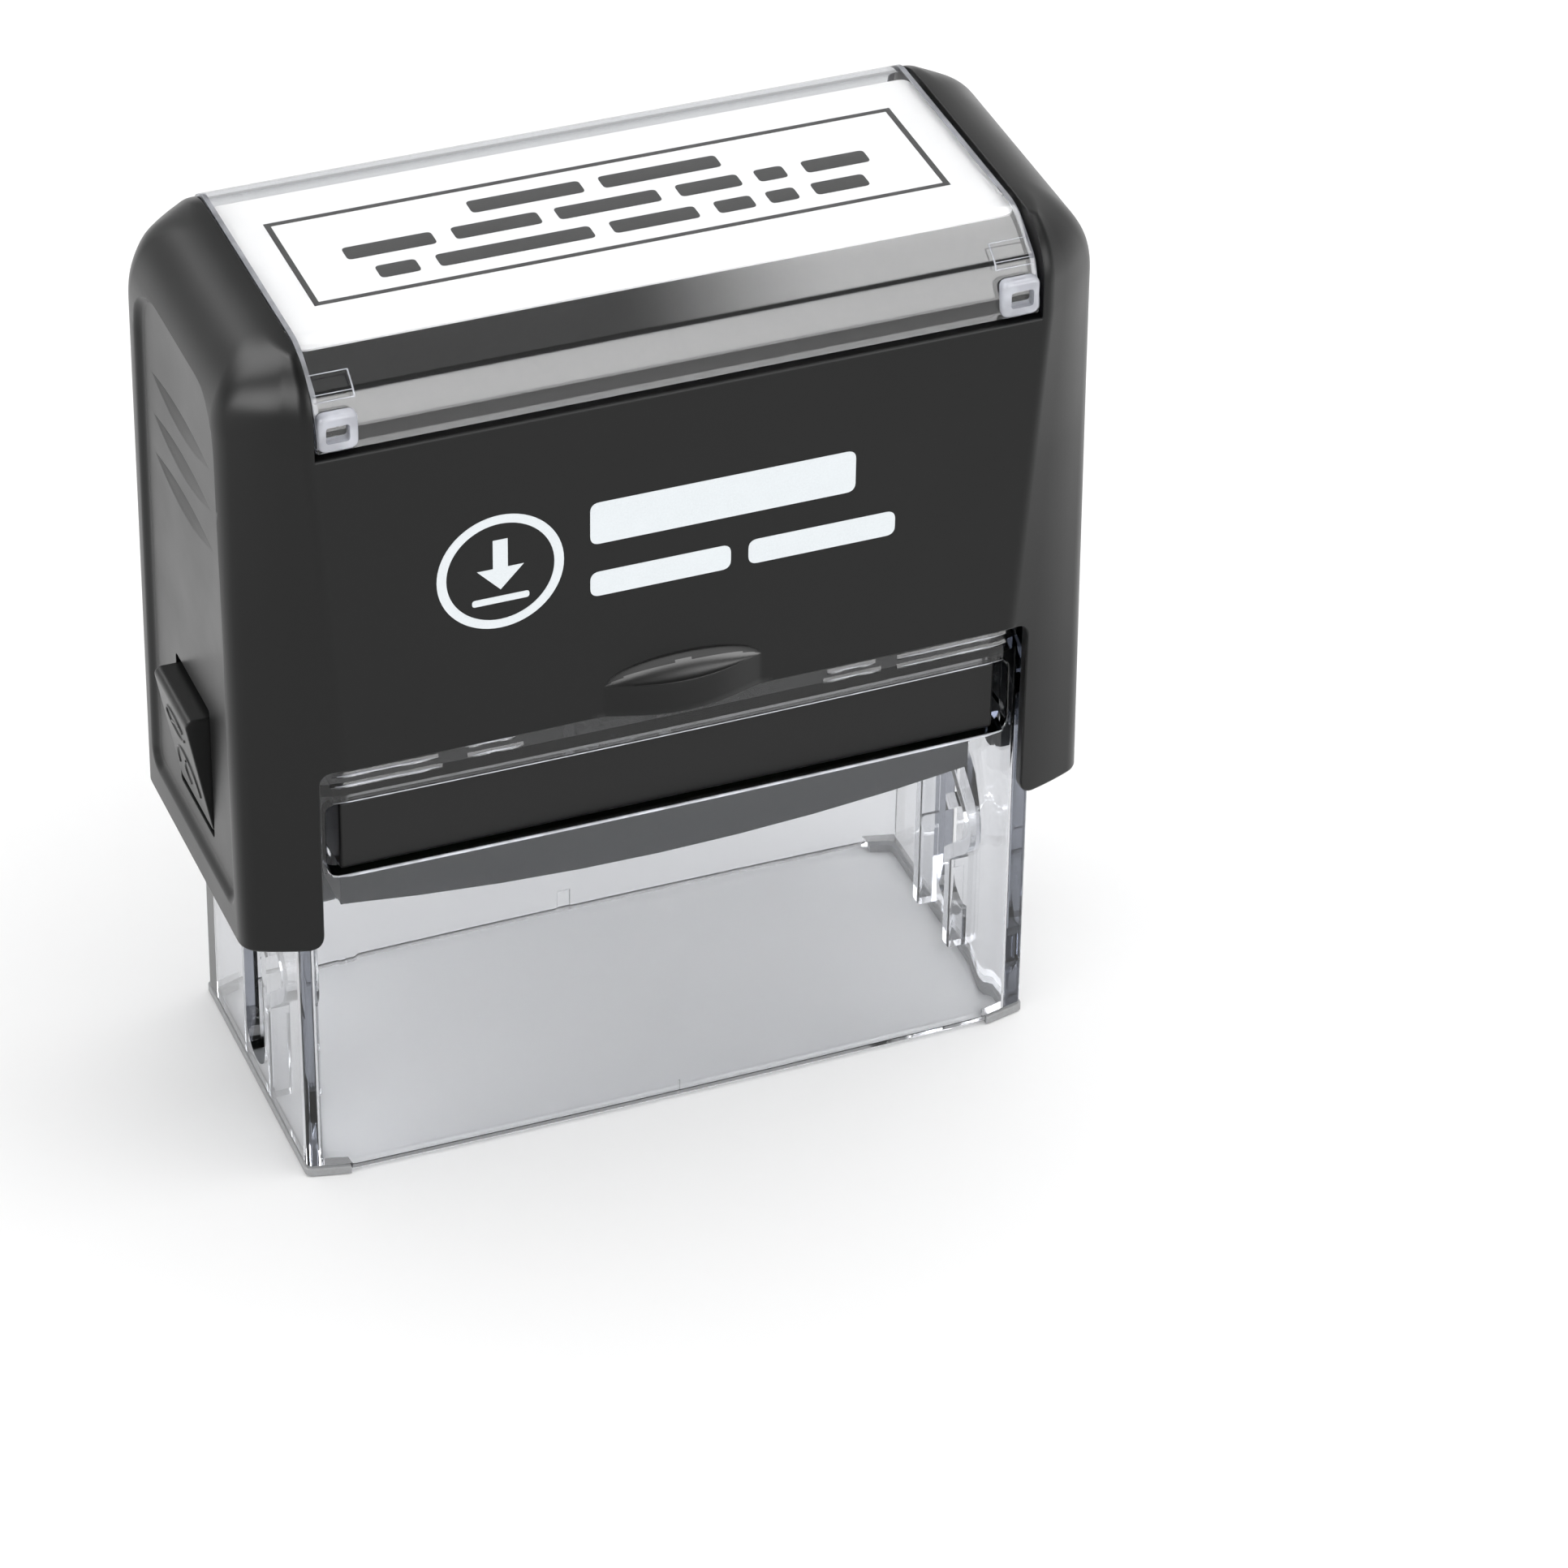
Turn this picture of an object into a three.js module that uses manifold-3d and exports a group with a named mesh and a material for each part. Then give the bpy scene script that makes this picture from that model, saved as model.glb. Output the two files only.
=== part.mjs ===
// A self inking stamp: a black case that is pressed down over a clear base frame, and turns the
// rubber die from the ink pad above it to the paper below it on the way.
// Millimetres, +Z up. The feet stand on z = 0 and the front, where the ink pad slides out, faces -Y.
import * as THREE from 'three';
import { mergeVertices } from 'three/addons/utils/BufferGeometryUtils.js';
import Module from 'manifold-3d';

const wasm = await Module();
wasm.setup();

// ---- Driving dimensions ----------------------------------------------------------------------

const GAP = 0.3; // between pieces that touch or slide on the real stamp
const FAR = 60; // how far a cutter reaches past whatever it cuts
const STROKE = 24.5; // travel of the case from rest to the printed page

const CASE = {
  halfLength: 41.75,
  halfDepth: 17.9,
  legZ: 27.4,
  topZ: 90.2,
  wall: 1.3,
  legWall: 0.9, // thinner where the legs slide past the base frame
  legWallZ: 50, // up to here
  deckWall: 2.8, // and thicker behind the window's front
  deckWallZ: 79.5, // from here up
  sideWall: 2.05,
  gapHalf: 34.6, // half the width of the opening between the legs
  gapTopZ: 47.4,
  lineLow: 31.1, // where the front's flat ends, at the foot of the leg
  lineHigh: 35.1, // and at the shoulder
  lineRound: 0.6,
  facetBulge: 0.5, // how far each facet's middle stands out
  facetFull: 8, // the length from which a facet bulges that far
  facetLeast: 0.8, // the length left of a facet at the very top
  cornerRound: 1.7,
  ceilingZ: 86.3,
};
// How far a face's corners stand back from it at the foot and at the shoulder, where it starts to
// round over at its top, and how far it rounds over.
const FRONT = { dropLow: 3.1, dropHigh: 5.5, curveZ: 84.6, reach: 6.0 };
const BACK = { dropLow: 2.8, dropHigh: 3.7, curveZ: 86.3, reach: 7.4 };
const SHOULDER = { startZ: 81.3, reach: 9.35, power: 2.24 };

const WINDOW = {
  halfLength: 34.1, thickness: 0.9, topZ: 89.7, bottomZ: 81.7, halfDepth: 17.7,
  frontReach: 6.0, frontCurveZ: 84.3, // how far its front leans in, and where that starts
  backReach: 3.6, backCurveZ: 86.1,
};
const DECK = { topZ: 88.3, ledgeZ: 81.1, halfLength: 34.4 };
const CARD = { halfLength: 33.9, frontY: -12.0, backY: 13.3, z: 88.42, thickness: 0.2 };
const PANEL = { depth: 0.6, halfWidth: 11.6, bottomZ: 31.6, topZ: 84.0, corner: 5.0 };
const GROOVE = { halfWidth: 8.2, height: 1.6, depth: 0.8, heights: [76.2, 71.8, 67.6] };
const THUMB = { halfWidth: 7.7, reach: 1.7, height: 5.3 };

const FRAME = {
  halfLength: 36.5,
  halfDepth: 16.7,
  bow: 0.3, // how far the middle of the front and back stand proud of their ends
  facetX: 32.3,
  cornerDrop: 1.3,
  wall: 1.6,
  draft: 0.015, // the front and back lean in by this for each millimetre of height
  bottomZ: 0.4,
  frontTopZ: 34.5,
  topZ: 46.8,
};
const FOOT = { height: 0.85, recessZ: 1.15, startX: 32.5, proud: 0.15, width: 2.0 };
const PAD_DECK = { bottomZ: 42.7, topZ: 44.0, mouthHalf: 33.6, mouthCorner: 1.2 };
const RAIL = { innerX: 32.2, bottomZ: 33.0, topZ: 34.4, halfDepth: 12.5 };
const SPRING_CUP = { innerR: 5.6, outerR: 6.8, topZ: 46.6 };

const AXLE = { z: 30.0, radius: 2.5, innerX: 30.3, shoulderX: 36.9, endX: 39.1, journal: 1.5 };
const SLOT = { half: 2.8, bottomZ: 2.7, topZ: 32.8 };
const RIB = { innerX: 33.05, width: 1.7, bottomZ: 1.3 };
const CAM = { arm: 6.0, pin: 1.3, innerX: 29.6, outerX: 34.0, floorX: 34.3, wall: 1.4, clearance: 0.3 };

const HOLDER = { halfLength: 31.4, halfDepth: 11.2, top: 2.9, plate: 1.6, skirt: 1.4, end: 2.0 };
const BELLY = { ends: -1.8, middle: -4.0 }; // the skirt's lower edge, counted from the axle
const CUSHION = { bottom: 3.05, top: 4.0, halfLength: 30.9, halfDepth: 8.5 };
const DIE = { bottom: 4.15, relief: 4.7, face: 5.3, halfLength: 30.7, halfDepth: 8.0 };
const IMPRINT = { halfLength: 30.2, halfDepth: 7.35, line: 0.5, barHeights: [3.7, 0, -3.7] };

const TRAY = {
  halfLength: 32.3, frontY: -15.2, backY: 13.6, bottomZ: 34.7, topZ: 42.2,
  fascia: 1.3, side: 1.0, back: 1.4, roof: 1.6, backZ: 35.8,
};
const FELT = { bottomZ: 35.65, topZ: 40.3 };

const YOKE = {
  innerX: 37.2, outerX: 39.2, halfDepth: 8.5, bottomZ: 27.45, barBottomZ: 83.6, barTopZ: 86.0,
};
const BUTTON = {
  bottomZ: 34.1, topZ: 47.0, half: 4.8, ledgeX: 43.45, flushX: 41.15, trunnion: 0.9,
  pivotX: 38.6, pivotZ: 35.0, trunnionReach: 6.4,
};
const SPRING = { bottomZ: 44.3, topZ: 82.0, radius: 4.6, wire: 1.1, turns: 7 };
const SEAT = { topZ: 83.3, flangeZ: 82.3, flangeR: 6.0, postR: 3.2, bottomZ: 71.3 };

// ---- Materials -------------------------------------------------------------------------------

const finish = (color, roughness, metalness = 0, opacity = 1) =>
  new THREE.MeshStandardMaterial({ color, roughness, metalness, opacity, transparent: opacity < 1 });

const BLACK = finish(0x1b1b1c, 0.45);
const DARK = finish(0x2a2a2c, 0.55);
const CLEAR = finish(0xd5dae2, 0.08, 0, 0.35);
const FOOT_GREY = finish(0xb4b6ba, 0.6);
const CARD_WHITE = finish(0xf1f1f3, 0.7);
const RUBBER = finish(0x7d2f2a, 0.75);
const FOAM = finish(0xb9b4a8, 0.9);
const FELT_INK = finish(0x17171c, 0.95);
const STEEL = finish(0xb5b8bd, 0.3, 1);

// ---- Solids ----------------------------------------------------------------------------------

/** A closed three.js geometry as a solid that can be cut and joined. */
function solid(geometry) {
  const bare = geometry.clone();
  bare.deleteAttribute('normal');
  bare.deleteAttribute('uv');
  const merged = mergeVertices(bare, 1e-4);
  const index = merged.index.array;
  const triVerts = [];
  for (let i = 0; i < index.length; i += 3) {
    const [a, b, c] = [index[i], index[i + 1], index[i + 2]];
    if (a !== b && b !== c && c !== a) triVerts.push(a, b, c);
  }
  return new wasm.Manifold(new wasm.Mesh({
    numProp: 3,
    vertProperties: new Float32Array(merged.attributes.position.array),
    triVerts: new Uint32Array(triVerts),
  }));
}

/** A box given by its lowest and highest corners. */
function box(low, high) {
  const size = high.map((value, i) => value - low[i]);
  const middle = high.map((value, i) => (value + low[i]) / 2);
  return solid(new THREE.BoxGeometry(...size).translate(...middle));
}

/** A flat outline pushed from one place to another along Z, X or Y. */
function prism(outline, from, to, along = 'z') {
  const shape = outline instanceof THREE.Shape ? outline : new THREE.Shape(outline);
  const options = { depth: to - from, bevelEnabled: false, curveSegments: 8 };
  const geometry = new THREE.ExtrudeGeometry(shape, options);
  geometry.translate(0, 0, along === 'y' ? -to : from);
  if (along === 'x') geometry.applyMatrix4(DRAWN_IN_YZ);
  if (along === 'y') geometry.rotateX(Math.PI / 2);
  return solid(geometry);
}
// Turns an outline drawn in (x, y) and pushed along Z into one drawn in (y, z) and pushed along X.
const DRAWN_IN_YZ = new THREE.Matrix4().set(0, 0, 1, 0, 1, 0, 0, 0, 0, 1, 0, 0, 0, 0, 0, 1);

/** A round bar along X. */
function barX(radius, from, to, y, z, sides = 24) {
  const geometry = new THREE.CylinderGeometry(radius, radius, to - from, sides);
  return solid(geometry.rotateZ(Math.PI / 2).translate((from + to) / 2, y, z));
}

/** A skin over a stack of level outlines that all have as many points. */
function loft(rings) {
  const positions = rings.flat().flatMap((p) => [p.x, p.y, p.z]);
  const count = rings[0].length;
  const index = [];
  for (let level = 0; level < rings.length - 1; level += 1) {
    for (let i = 0; i < count; i += 1) {
      const a = level * count + i;
      const b = level * count + ((i + 1) % count);
      index.push(a, b, b + count, a, b + count, a + count);
    }
  }
  const cap = THREE.ShapeUtils.triangulateShape(rings[0], []);
  const last = (rings.length - 1) * count;
  cap.forEach(([a, b, c]) => index.push(a, c, b, last + a, last + b, last + c));
  const geometry = new THREE.BufferGeometry();
  geometry.setAttribute('position', new THREE.Float32BufferAttribute(positions, 3));
  geometry.setIndex(index);
  return solid(geometry);
}

/** An outline with each corner rounded off from `setback` before it to `setback` after it. */
function roundCorners(corners, steps = 4) {
  return corners.flatMap(([x, y, setback], i) => {
    const corner = new THREE.Vector2(x, y);
    const towards = (other) => {
      const step = new THREE.Vector2(other[0], other[1]).sub(corner);
      return step.setLength(Math.min(setback, step.length() * 0.49)).add(corner);
    };
    if (!setback) return [corner];
    const start = towards(corners.at(i - 1));
    const end = towards(corners[(i + 1) % corners.length]);
    return new THREE.QuadraticBezierCurve(start, corner, end).getPoints(steps);
  });
}

/** The corners of a shape that is the same on both sides of x = 0, from its right half. */
const mirrored = (right) => [...right, ...right.toReversed().map(([x, y, r]) => [-x, y, r])];

/** Two copies, at the two ends of the stamp. */
const atBothEnds = (right) => right.add(right.mirror([1, 0, 0]));

/** Evenly spaced values from one to another. */
const range = (from, to, steps) =>
  Array.from({ length: steps + 1 }, (_, i) => from + ((to - from) * i) / steps);

const group = new THREE.Group();

/** Adds a finished piece to the stamp. */
function piece(name, body, material) {
  const { vertProperties, triVerts } = body.getMesh();
  const geometry = new THREE.BufferGeometry();
  geometry.setAttribute('position', new THREE.BufferAttribute(vertProperties, 3));
  geometry.setIndex(new THREE.BufferAttribute(triVerts, 1));
  geometry.computeVertexNormals();
  const mesh = new THREE.Mesh(geometry, material);
  mesh.name = name;
  group.add(mesh);
}

// ---- The case --------------------------------------------------------------------------------

/** How far a rounded shoulder has fallen away at a height, from 0 where it starts to 1 at the top. */
function fallAway(z, startZ, power = 2) {
  const t = THREE.MathUtils.clamp((z - startZ) / (CASE.topZ - startZ), 0, 0.998);
  return 1 - (1 - t ** power) ** (1 / power);
}

/** The case's outline at a height: flat front and back, facets that curve back, rounded corners. */
function caseOutline(z, inset = 0, sideInset = inset) {
  const up = THREE.MathUtils.clamp((z - CASE.legZ) / (SHOULDER.startZ - CASE.legZ), 0, 1);
  const full = CASE.halfLength - SHOULDER.reach * fallAway(z, SHOULDER.startZ, SHOULDER.power);
  const line = Math.min(THREE.MathUtils.lerp(CASE.lineLow, CASE.lineHigh, up), full - CASE.facetLeast);
  const side = (face, sign) => {
    const depth = CASE.halfDepth - face.reach * fallAway(z, face.curveZ) - inset;
    const drop = THREE.MathUtils.lerp(face.dropLow, face.dropHigh, up) - inset * 0.1;
    const start = new THREE.Vector2(line - inset * 0.3, depth);
    const end = new THREE.Vector2(full - sideInset, depth - drop);
    const along = end.clone().sub(start);
    const bulge = CASE.facetBulge * Math.min(1, along.length() / CASE.facetFull);
    const outward = new THREE.Vector2(-along.y, along.x).setLength(bulge);
    const middle = start.clone().lerp(end, 0.5).add(outward);
    return [
      [start.x, sign * start.y, CASE.lineRound],
      [middle.x, sign * middle.y, CASE.halfLength],
      [end.x, sign * end.y, CASE.cornerRound],
    ];
  };
  const right = [...side(FRONT, -1), ...side(BACK, 1).toReversed()];
  return roundCorners(mirrored(right)).map((p) => new THREE.Vector3(p.x, p.y, z));
}

/** The window's profile in (y, z), or a parallel one that far inside it. */
function windowProfile(inset, bottomZ, topZ = WINDOW.topZ - inset) {
  const arc = (centreY, centreZ, reachY, sign) => range(0, Math.PI / 2, 8).map((angle) => new THREE.Vector2(
    centreY + sign * reachY * Math.cos(angle),
    centreZ + (topZ - centreZ) * Math.sin(angle),
  ));
  const { halfDepth, frontReach, frontCurveZ, backReach, backCurveZ } = WINDOW;
  const front = arc(frontReach - halfDepth, frontCurveZ, frontReach - inset, -1);
  const back = arc(halfDepth - backReach, backCurveZ, backReach - inset, 1);
  return [
    new THREE.Vector2(inset - halfDepth, bottomZ), ...front,
    ...back.toReversed(), new THREE.Vector2(halfDepth - inset, bottomZ),
  ];
}

/** What is cut away above the deck so that the window lies flush between the end caps. */
function windowRecess() {
  const outline = windowProfile(WINDOW.thickness + GAP, DECK.ledgeZ, DECK.topZ);
  outline.push(new THREE.Vector2(FAR, DECK.ledgeZ), new THREE.Vector2(FAR, CASE.topZ + FAR));
  outline.push(new THREE.Vector2(-FAR, CASE.topZ + FAR), new THREE.Vector2(-FAR, DECK.ledgeZ));
  return prism(outline, -DECK.halfLength, DECK.halfLength, 'x');
}

/** The opening between the legs, with rounded corners at its top and at the foot of each leg. */
function legGap() {
  const foot = CASE.legZ;
  const outline = roundCorners(mirrored([
    [FAR, foot - FAR, 0],
    [FAR, foot, 0],
    [CASE.gapHalf, foot, 1.8],
    [CASE.gapHalf, CASE.gapTopZ, 1.4],
  ]));
  return prism(outline, -FAR, FAR, 'y');
}

/** The shallow flat panel on an end, its three grip grooves and the window for the lock button. */
function endCuts() {
  const outside = CASE.halfLength - PANEL.depth;
  const panel = prism(roundCorners([
    [-PANEL.halfWidth, PANEL.bottomZ, 1.2],
    [PANEL.halfWidth, PANEL.bottomZ, 1.2],
    [PANEL.halfWidth - 1, PANEL.topZ, PANEL.corner],
    [-PANEL.halfWidth + 1, PANEL.topZ, PANEL.corner],
  ]), outside, FAR, 'x');
  const button = box(
    [SLOT.half, -BUTTON.half - GAP, BUTTON.bottomZ - 0.6],
    [FAR, BUTTON.half + GAP, BUTTON.topZ + 0.9],
  );
  const grooves = GROOVE.heights.map((z) => {
    const lens = new THREE.SphereGeometry(1, 24, 6);
    return solid(lens.scale(GROOVE.depth, GROOVE.halfWidth, GROOVE.height).translate(outside, 0, z));
  });
  return grooves.reduce((all, groove) => all.add(groove), panel.add(button));
}

function caseShell() {
  const levels = [CASE.legZ, 45, 60, 70, 76, 80.8, 82.5, 84, 85.4, 86.7, 87.8, 88.7, 89.4, 89.9, 90.18];
  const outer = loft(levels.map((z) => caseOutline(z)));
  const wallDepth = (z) => {
    if (z > CASE.deckWallZ) return CASE.deckWall;
    return z < CASE.legWallZ ? CASE.legWall : CASE.wall;
  };
  const step = CASE.deckWallZ;
  const inside = [10, CASE.legZ, 45, 60, step - 0.1, step + 0.1, 82.5, 84.4, CASE.ceilingZ];
  const cavity = loft(inside.map((z) => caseOutline(z, wallDepth(z), CASE.sideWall)));
  const bump = solid(new THREE.SphereGeometry(1, 28, 16)
    .scale(THUMB.halfWidth, THUMB.reach, THUMB.height)
    .translate(0, -CASE.halfDepth, CASE.gapTopZ));
  const thumb = bump.intersect(box([-FAR, -FAR, CASE.gapTopZ], [FAR, -CASE.halfDepth + 1, FAR]));
  return outer
    .add(thumb)
    .subtract(cavity)
    .subtract(windowRecess())
    .subtract(legGap())
    .subtract(atBothEnds(endCuts()));
}

function windowCover() {
  const outer = windowProfile(0, WINDOW.bottomZ);
  const inner = windowProfile(WINDOW.thickness, WINDOW.bottomZ);
  const outline = [...outer, ...inner.toReversed()];
  return prism(outline, -WINDOW.halfLength, WINDOW.halfLength, 'x');
}

function indexCard() {
  const { halfLength, frontY, backY, z, thickness } = CARD;
  return box([-halfLength, frontY, z], [halfLength, backY, z + thickness]);
}

/** The bracket inside the case that carries the axle pins and pushes on the spring. */
function yoke() {
  const { innerX, outerX, halfDepth, bottomZ, barBottomZ, barTopZ } = YOKE;
  const outline = mirrored([
    [innerX, bottomZ, 0], [outerX, bottomZ, 0], [outerX, 79.5, 0],
    [outerX - 2.4, barTopZ - 2, 0], [outerX - 4, barTopZ, 0],
  ]);
  outline.push([-innerX, 79, 0], [-innerX + 3, barBottomZ, 0], [innerX - 3, barBottomZ, 0], [innerX, 79, 0]);
  const bracket = prism(roundCorners(outline), -halfDepth, halfDepth, 'y');
  const journal = barX(AXLE.journal + GAP / 2, innerX - 1, FAR, 0, AXLE.z);
  const buttonWindow = box([innerX - 1, -5.6, 33.2], [FAR, 5.6, 48.8]);
  const bearing = trunnionBar(BUTTON.trunnion + GAP, BUTTON.trunnionReach + GAP);
  return bracket.subtract(atBothEnds(journal.add(buttonWindow).add(bearing)));
}

/** A round bar along Y on a lock button's pivot, at the right end. */
function trunnionBar(radius, reach) {
  const geometry = new THREE.CylinderGeometry(radius, radius, 2 * reach, 20);
  return solid(geometry.translate(BUTTON.pivotX, 0, BUTTON.pivotZ));
}

/** A wedge that pivots near its foot and stands proud at its top, with a step to press on. */
function lockButton() {
  const { bottomZ, topZ, half, ledgeX, flushX, trunnion, trunnionReach } = BUTTON;
  const outline = roundCorners([
    [flushX - 3, bottomZ, 0.3],
    [flushX, bottomZ, 0.4],
    [ledgeX, topZ - 0.5, 0.5],
    [ledgeX - 0.5, topZ, 0.3],
    [flushX - 0.8, topZ, 0.3],
    [flushX - 1.5, topZ - 6, 1],
  ], 3);
  return prism(outline, -half, half, 'y').add(trunnionBar(trunnion, trunnionReach));
}

function springSeat() {
  const { topZ, flangeZ, flangeR, postR, bottomZ } = SEAT;
  const profile = [
    [0, bottomZ], [postR - 0.8, bottomZ], [postR, bottomZ + 0.8],
    [postR, flangeZ], [flangeR, flangeZ], [flangeR, topZ], [0, topZ],
  ].map(([r, z]) => new THREE.Vector2(r, z));
  return solid(new THREE.LatheGeometry(profile, 32).rotateX(Math.PI / 2));
}

/** The return spring, wound from the frame's cup up to the seat under the yoke. */
function returnSpring() {
  const { bottomZ, topZ, radius, wire, turns } = SPRING;
  const points = range(0, turns, turns * 16).map((turn) => {
    const angle = turn * 2 * Math.PI;
    const z = THREE.MathUtils.lerp(bottomZ + wire / 2, topZ - wire / 2, turn / turns);
    return new THREE.Vector3(radius * Math.cos(angle), radius * Math.sin(angle), z);
  });
  const section = new THREE.Shape(range(0, 7, 7).map((i) => {
    const angle = (i / 8) * 2 * Math.PI;
    return new THREE.Vector2((wire / 2) * Math.cos(angle), (wire / 2) * Math.sin(angle));
  }));
  const path = new THREE.CatmullRomCurve3(points);
  const options = { extrudePath: path, steps: turns * 16, curveSegments: 1 };
  return solid(new THREE.ExtrudeGeometry(section, options));
}

// ---- The base frame --------------------------------------------------------------------------

/** The base frame's outline at a height: bowed front and back, corners swept back. */
function frameOutline(z, inset = 0) {
  const lean = FRAME.draft * Math.max(z, 0) + inset;
  const bowed = (x) => FRAME.halfDepth - FRAME.bow * (x / FRAME.facetX) ** 2 - lean;
  const corner = [FRAME.halfLength - inset, FRAME.halfDepth - FRAME.cornerDrop - lean * 0.95];
  const facet = FRAME.facetX - inset * 0.4;
  const right = [
    ...[facet / 3, (facet * 2) / 3].map((x) => [x, -bowed(x), 0]),
    [facet, -bowed(facet), 0.8], [corner[0], -corner[1], 0.6],
    [corner[0], corner[1], 0.6], [facet, bowed(facet), 0.8],
    ...[(facet * 2) / 3, facet / 3].map((x) => [x, bowed(x), 0]),
  ];
  return roundCorners(mirrored(right)).map((p) => new THREE.Vector3(p.x, p.y, z));
}

const frameBlock = (fromZ, toZ, inset = 0) => loft([frameOutline(fromZ, inset), frameOutline(toZ, inset)]);

/** The path of a cam pin past the frame: down with the case while it swings round the axle. */
function camPath() {
  return range(0, Math.PI, 14).map((angle) => new THREE.Vector2(
    -CAM.arm * Math.sin(angle),
    AXLE.z - (STROKE * angle) / Math.PI - CAM.arm * Math.cos(angle),
  ));
}

/** What a round bar along X sweeps out as it follows a path in (y, z). */
function sweptBar(path, radius, fromX, toX) {
  const discs = path.map((p) => barX(radius, fromX, toX, p.x, p.y, 20));
  const spans = path.slice(1).map((end, i) => {
    const start = path[i];
    const side = new THREE.Vector2(start.y - end.y, end.x - start.x).setLength(radius);
    const outline = [
      start.clone().add(side), start.clone().sub(side), end.clone().sub(side), end.clone().add(side),
    ];
    return prism(outline, fromX, toX, 'x');
  });
  return [...discs, ...spans].reduce((all, next) => all.add(next));
}

/** The curved cam track on an end wall's inner face, and the ribs beside the axle's slot. */
function endTrack() {
  const outside = FRAME.halfLength - FRAME.wall / 2;
  const path = camPath();
  const half = CAM.pin + CAM.clearance;
  const rib = (y, topZ) => box([RIB.innerX, y, RIB.bottomZ], [outside, y + RIB.width, topZ]);
  const ribs = rib(SLOT.half + 0.1, RAIL.topZ - 1).add(rib(-SLOT.half - 0.1 - RIB.width, 12));
  return sweptBar(path, half + CAM.wall, RIB.innerX, outside)
    .add(ribs)
    .subtract(sweptBar(path, half, RIB.innerX - 1, CAM.floorX));
}

/** The slot in an end wall that the axle pin runs down. */
function axleSlot() {
  const { half, bottomZ, topZ } = SLOT;
  const outline = new THREE.Shape();
  outline.moveTo(half, topZ);
  outline.lineTo(-half, topZ);
  outline.absarc(0, bottomZ + half, half, Math.PI, 2 * Math.PI, false);
  return prism(outline, RIB.innerX - 1, FAR, 'x');
}

function frameBody() {
  const { bottomZ, topZ, wall, frontTopZ, halfLength } = FRAME;
  const shell = frameBlock(bottomZ, topZ)
    .subtract(frameBlock(-5, PAD_DECK.bottomZ, wall))
    .subtract(frameBlock(PAD_DECK.topZ, topZ + 5, wall));
  const mouth = prism(roundCorners(mirrored([
    [PAD_DECK.mouthHalf, frontTopZ, PAD_DECK.mouthCorner],
    [PAD_DECK.mouthHalf, PAD_DECK.bottomZ, PAD_DECK.mouthCorner],
  ])), -FAR, -10, 'y');
  const footSteps = atBothEnds(box([FOOT.startX - GAP / 2, -FAR, -FAR], [FAR, FAR, FOOT.recessZ]));
  const rail = box(
    [RAIL.innerX, -RAIL.halfDepth, RAIL.bottomZ],
    [halfLength - wall / 2, RAIL.halfDepth, RAIL.topZ],
  );
  const cup = solid(new THREE.CylinderGeometry(SPRING_CUP.outerR, SPRING_CUP.outerR, 3.6, 32)
    .rotateX(Math.PI / 2).translate(0, 0, SPRING_CUP.topZ - 1.8));
  const bore = solid(new THREE.CylinderGeometry(SPRING_CUP.innerR, SPRING_CUP.innerR, 3.6, 32)
    .rotateX(Math.PI / 2).translate(0, 0, PAD_DECK.topZ + 1.8));
  return shell
    .add(cup)
    .subtract(bore)
    .subtract(mouth)
    .subtract(footSteps)
    .add(atBothEnds(endTrack().add(rail)))
    .subtract(atBothEnds(axleSlot()));
}

/** A soft foot under one end: the end wall's outline, a little proud of it. */
function foot() {
  const strip = frameBlock(0, FOOT.height, -FOOT.proud).subtract(
    frameBlock(-1, FOOT.height + 1, FOOT.width - FOOT.proud),
  );
  return strip.intersect(box([FOOT.startX, -FAR, -FAR], [FAR, FAR, FAR]));
}

// ---- The ink pad -----------------------------------------------------------------------------

function padTray() {
  const { halfLength, frontY, backY, bottomZ, topZ, fascia, side, back, roof, backZ } = TRAY;
  const hollow = box(
    [-halfLength + side, frontY + fascia, bottomZ - 1],
    [halfLength - side, backY - back, topZ - roof],
  );
  const lowBack = box(
    [-halfLength + side, backY - back - 1, bottomZ - 1],
    [halfLength - side, backY + 1, backZ],
  );
  return box([-halfLength, frontY, bottomZ], [halfLength, backY, topZ]).subtract(hollow).subtract(lowBack);
}

function inkFelt() {
  const { halfLength, frontY, backY, fascia, side, back } = TRAY;
  const half = halfLength - side - GAP;
  return box(
    [-half, frontY + fascia + GAP, FELT.bottomZ],
    [half, backY - back - GAP, FELT.topZ],
  );
}

// ---- The die carrier, drawn about its axle ------------------------------------------------------

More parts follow.
